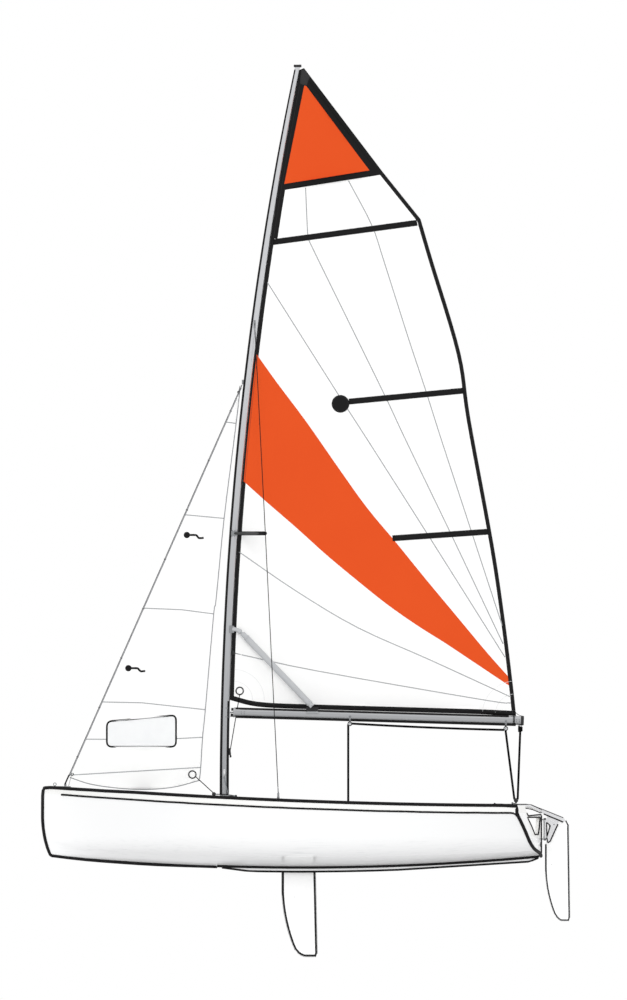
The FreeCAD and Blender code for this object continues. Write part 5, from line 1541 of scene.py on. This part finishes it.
# Luff slug above the tack, where a strap holds the sail's edge to the mast.
slug_z = 1.686
where = mast_face(slug_z, -1)
slug = slab(where + Vector((-0.016, -0.004, 0.0)), (0, 0, 1), (1, 0, 0), (0, 1, 0), (0.040, 0.034, 0.008),
            0.008)
on_the_main("luff_slug", slug, nylon)

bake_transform(main)

# Cunningham: a line from the ring in the luff down to a cleat on the mast.
ring_point = on_main(TACK_RING[0], TACK_RING[1] - 0.031, 0.0)
low_point = mast_face(0.850, -1) + Vector((-0.010, 0.0, 0.0))
CONTROL_R = 0.0038
line = sagging(ring_point, low_point, 0.0, 14)
cunningham = piece("cunningham_line", tube(line, CONTROL_R, 8), black_rope, None)
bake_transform(cunningham)
holder = slab(mast_face(0.845, -1) + Vector((0.001, 0, 0)), (0, 0, 1), (0, 1, 0), (-1, 0, 0),
              (0.06, 0.022, 0.016), 0.006)
tail = [low_point + Vector(step) for step in ((0, 0, 0.01), (-0.004, 0, -0.02), (-0.004, 0, -0.045))]
piece("cunningham_cleat", holder, nylon)
piece("cunningham_tail", [tube(tail, CONTROL_R, 8), knot(tail[-1], CONTROL_R)], black_rope)

# Clew lashing: three turns of thin line round the boom and through the clew's ring.
LASH_R = 0.0022
turns = [tube(round_boom(2.372 + k * 0.006, 0.0026), LASH_R, 8, closed=True) for k in range(3)]
clew_at = on_main(*CLEW, 0.0)
for turn in (1, -1):
    turns.append(tube([on_boom(2.376, 0.010 * turn, BOOM_HIGH / 2 + 0.001),
                       clew_at + Vector((0, 0.006 * turn, -0.004))], LASH_R, 8))
turns.append(tube(bent([clew_at + Vector((-0.006, 0.006, 0)), on_boom(2.42, 0.004, BOOM_HIGH / 2 + 0.008),
                        on_boom(2.46, 0.0, BOOM_HIGH / 2)], 4), LASH_R, 8))
piece("clew_lashing", turns, black_rope, "swinging_rig")

# ======== jib ========
# A small jib of the same white cloth, cut in level panels, with a clear window near its foot. Its luff is
# held to the forestay, and pale tape is folded over its three edges.
STAY_SLOPE = -2.2594          # how fast the stay rises along X
JIB_TABLE = ((0.480, 0.784), (0.966, 0.756), (2.012, 0.662), (2.829, 0.573), (3.902, 0.440), (3.960, 0.431))
JIB_DEPTH = 0.05
JIB_CLEW = (0.851, 0.650)


def stay_x(z):
    return stay_foot.x + (z - stay_foot.z) / STAY_SLOPE


def on_jib(x, z, off):
    """A point of the jib's surface, bellied to starboard between the forestay and its leech."""
    front, back = stay_x(z) - 0.0037, between(z, JIB_TABLE)
    share = (front - x) / (front - back)
    belly = -4 * JIB_DEPTH * (front - back) * share * (1 - share)
    ease = max(0.0, min(1.0, share * 8))
    ripple = creases(x, z, JIB_CLEW, 9, 0.0030, 0.5) * ease
    ripple += 0.0014 * math.sin(3.1 * z) * math.sin(6.0 * x) * ease
    return Vector((x, belly + ripple + off, z))


jib_luff = [(stay_x(z) - 0.0037, z) for z in [0.641 + (3.940 - 0.641) * k / 40 for k in range(41)]]
jib_leech = flat_bent([(0.445, 3.902), (0.475, 3.634), (0.577, 2.829), (0.646, 2.134), (0.666, 2.012),
                       (0.737, 1.201), (0.760, 0.967), (0.776, 0.711), (0.786, 0.612)], 5)
jib_foot = flat_bent([(0.791, 0.596), (1.005, 0.540), (1.243, 0.519), (1.482, 0.530), (1.720, 0.565),
                      (1.893, 0.621)], 6)
jib_outline = jib_luff + jib_leech + jib_foot
window = rounded([(1.578, 0.886), (0.990, 0.886), (0.990, 1.155), (1.578, 1.101)], 0.045, 6)
vinyl, tree, shader, place = finish("clear_vinyl", Roughness=0.08, Alpha=0.4, IOR=1.5)
# Clear vinyl film: glossy, faintly grey and crazed, so that what is behind it shows dimly.
crazing = add(tree, "TexNoise", {"Vector": place, "Scale": 9.0, "Detail": 7.0})
tone = add(tree, "MixRGB", {"Fac": crazing, "Color1": "#EDEFF1", "Color2": "#FAFBFB"})
bump = add(tree, "Bump", {"Height": crazing, "Strength": 0.15, "Distance": 0.002})
feed(shader, {"Base Color": tone, "Normal": bump})
shape, regions = patchwork(jib_outline, [window], 0.033, on_jib, CLOTH)
jib = piece("jib_cloth", shape, [white_cloth, vinyl], regions=regions)
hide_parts("jib")

# Narrow grey tape, folded over the edges and worn paler on its ridge.
pale_tape = mottled("grey_edge_tape", "sailcloth", ("#85878A", "#98999C"), (8.0, 4.0), Roughness=0.6)
tapes = [ribbon(beside(line, 0.004), 0.008, on_jib, CLOTH + 0.0006)
         for line in (jib_luff, jib_leech, jib_foot)]
jib_pieces = [piece("jib_edge_tape", tapes, pale_tape)]
JIB_SEAMS = (((0.565, 3.646), (0.475, 3.634)), ((0.914, 2.858), (0.577, 2.827)),
             ((1.261, 2.064), (0.943, 2.051), (0.666, 2.015)),
             ((1.619, 1.267), (1.281, 1.260), (0.737, 1.201)),
             ((1.755, 0.951), (1.572, 0.949)), ((0.991, 0.955), (0.760, 0.967)),
             ((1.893, 0.645), (0.776, 0.711)))
strips = [ribbon(line, SEAM_WIDE, on_jib, CLOTH + 0.0005) for line in JIB_SEAMS]
jib_pieces.append(piece("jib_seams", strips, seam))
border = ribbon(window + window[:1], 0.0152, on_jib, CLOTH + 0.0007)
jib_pieces.append(piece("jib_window_tape", border, black_tape))

# Tell-tales: dark wool tails under round stickers, which stream aft along the cloth on both faces.
marks = []
TAIL = ((0.0, 0.0), (-0.068, 0.0), (-0.083, -0.004), (-0.096, -0.020), (-0.108, -0.027), (-0.122, -0.026),
        (-0.143, -0.024))
for dot_x, dot_z in ((0.898, 2.686), (1.395, 1.554)):
    disc, _ = patchwork(circle((dot_x, dot_z), 0.027, 24), (), 0.02, on_jib, CLOTH + 0.0006)
    marks.append(disc)
    wave = flat_bent([(dot_x + x, dot_z + z) for x, z in TAIL], 4)
    marks.append(ribbon(wave, 0.0170, on_jib, CLOTH + 0.0016, 0.01))
jib_pieces.append(piece("jib_telltales", marks, black_tape))
rings = [ring(JIB_CLEW, 0.031, 0.0060, on_jib), ring((1.872, 0.652), 0.010, 0.0035, on_jib),
         ring((0.458, 3.900), 0.009, 0.0032, on_jib)]
jib_pieces.append(piece("jib_rings", rings, nylon))

# Soft luff loops: short straps of tape that hold the jib's luff to the stay, one about every 0.4 m.
loops = []
for k in range(8):
    z = 0.80 + k * 0.42
    middle = Vector((stay_x(z) - 0.0035, 0.0, z))
    turn = [middle + Vector((0.0075 * math.cos(a), 0.0058 * math.sin(a), 0.0033 * math.cos(a)))
            for a in angles(16)]
    loops.append(tube(turn, 0.0024, 6, closed=True))
jib_pieces.append(piece("jib_luff_loops", loops, webbing))

# Tack lashing and head strop of the jib.
tack, stem_top = on_jib(1.880, 0.640, 0.0), Vector((1.905, 0.0, 0.548))
lines = [tube([tack + Vector((0, y, 0)), stem_top + Vector((0, y * 0.5, 0))], 0.0016, 8)
         for y in (-0.003, 0.003)]
head = on_jib(0.458, 3.905, 0.0)
lines.append(tube([head, Vector((0.446, 0.0, 3.955))], 0.0022, 8))
piece("jib_lashings", lines, black_rope)

# Jib sheets: a rope each side from the clew's ring to the block ahead of the mast and back to the inner
# cleat, where it ends in a stopper knot.
clew = on_jib(*JIB_CLEW, 0.0)
lead_low, lead_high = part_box("jib_sheet_blocks")
lead_x, lead_z = (lead_low.x + lead_high.x) / 2, (lead_low.z + lead_high.z) / 2
SHEET_R = 0.0040
sheets = []
for turn in (1, -1):
    block = Vector((lead_x, 0.026 * turn, lead_z))
    deck_here = deck_height(0.52, 0.10)
    sheets.append(tube([clew + Vector((-0.028, 0.004 * turn, -0.018)), block + Vector((0.004, 0.0, 0.014))],
                       SHEET_R, 10))
    line = bent([block + Vector((-0.012, 0.0, 0.004)), (0.590, 0.072 * turn, deck_here + 0.030),
                 (0.520, 0.095 * turn, deck_here + 0.024), (0.480, 0.100 * turn, deck_here + 0.016)], 6)
    sheets += [tube(line, SHEET_R, 10), knot(line[-1], SHEET_R)]
sheets.append(knot(clew + Vector((-0.030, 0.0, -0.016)), SHEET_R))
piece("jib_sheets", sheets, black_rope)

# ======== mainsheet ========
# Black braid, thicker than the real 12 mm so that it shows from afar. A bridle across the transom carries a
# block; the sheet runs from the boom's end through it, up to the boom's after block, forward under the boom
# and down to the swivel on the centreboard case.
MAIN_R = 0.0096
APEX = Vector((-1.900, 0.0, 0.426))
after, fore = BLOCKS
SWIVEL_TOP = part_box("mainsheet_swivel")[1].z
SHEET_X = -0.4736


def crossing(name, lines, low, high):
    """Ropes between the hull and the boom."""
    made = piece(name, [tube(line, MAIN_R, 10) for line in lines], black_rope, None)
    tuple(low)
    tuple(high)
    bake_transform(made)
    return made


dead_end = end_eye + Vector((0.0, 0.0, -0.010))
rise = [sagging(APEX + Vector((-0.014, 0.0, 0.012)), dead_end, 0.0, 24),
        sagging(APEX + Vector((0.014, 0.0, 0.012)), after + Vector((0.002, 0.0, -0.016)), 0.0, 24)]
crossing("mainsheet_after_parts", rise, APEX, dead_end)
piece("mainsheet_dead_end", knot(dead_end + Vector((0, 0, -0.012)), MAIN_R), black_rope, "swinging_rig")
under = sagging(after + Vector((0.014, 0.0, -0.012)), fore + Vector((-0.014, 0.0, 0.002)), 0.006, 24)
piece("mainsheet_under_boom", tube(under, MAIN_R, 10), black_rope, "swinging_rig")
down = sagging((SHEET_X, 0.0, SWIVEL_TOP - 0.006), (SHEET_X, 0.0, fore.z - 0.004), 0.0, 24)
crossing("mainsheet_fall", [down], down[0], down[-1])

# The bridle: one rope from side deck to side deck, over the tiller, with the block riding on its middle.
BRIDLE_R = 0.0038
eyes, legs = [], []
for turn in (1, -1):
    base = on_deck(-1.870, 0.695, 0.0)
    base.y *= turn
    arch = [base + Vector((0.018 * math.cos(a), 0.0, 0.001 + 0.016 * math.sin(a))) for a in angles(20)[:11]]
    eyes.append(tube(arch, 0.0030, 8))
    eyes.append(slab(base, (1, 0, 0), (0, 1, 0), (0, 0, 1), (0.058, 0.016, 0.0025), 0.006))
    for d in (-0.023, 0.023):
        eyes.append(screw_head(base + Vector((d, 0, 0.0025)), (0, 0, 1), 0.004))
    leg_end = base + Vector((0.0, 0.0, 0.015))
    legs.append(tube(sagging(leg_end, APEX + Vector((0.0, 0.010 * turn, -0.016)), 0.002, 16), BRIDLE_R, 10))
    legs.append(knot(leg_end + Vector((0, -0.010 * turn, 0.004)), BRIDLE_R))
legs.append(tube([APEX + Vector((0.0, 0.012, -0.016)), APEX + Vector((0.0, -0.012, -0.016))], BRIDLE_R, 10))
piece("bridle_eyes", eyes, steel)
piece("bridle", legs, black_rope)
cheek = [turned(((0.0, 0.019), (0.0025, 0.0185), (0.0040, 0.016), (0.0040, 0.004)),
                APEX + Vector((0.0, 0.0065 * turn, 0.004)), (0, turn, 0), 28) for turn in (1, -1)]
cheek.append(turned(((-0.0065, 0.016), (-0.003, 0.0125), (0.003, 0.0125), (0.0065, 0.016)),
                    APEX + Vector((0, 0, 0.004)), (0, 1, 0), 28))
cheek.append(slab(APEX + Vector((0, 0, -0.012)), (1, 0, 0), (0, 1, 0), (0, 0, -1), (0.014, 0.016, 0.010),
                  0.003))
piece("bridle_block", cheek, nylon)

# Swivel's cleat: the sheet passes through it and ends in a stopper knot hard against it.
tail = [Vector((SHEET_X - 0.016, 0.0, SWIVEL_TOP - 0.018)),
        Vector((SHEET_X - 0.030, 0.0, SWIVEL_TOP - 0.012)),
        Vector((SHEET_X - 0.048, 0.0, SWIVEL_TOP - 0.004))]
piece("mainsheet_tail", [tube(tail, MAIN_R * 0.8, 10), knot(tail[-1], MAIN_R * 0.9)], black_rope)
cheeks = []
for turn in (1, -1):
    side = hit(["mainsheet_swivel"], (SHEET_X, turn, SWIVEL_TOP - 0.018), (0, -turn, 0))[0]
    cheeks.append(turned(((-0.001, 0.014), (0.0014, 0.0135), (0.002, 0.011), (0.002, 0.004)), side,
                         (0, turn, 0), 24))
piece("swivel_cheeks", cheeks, pale)
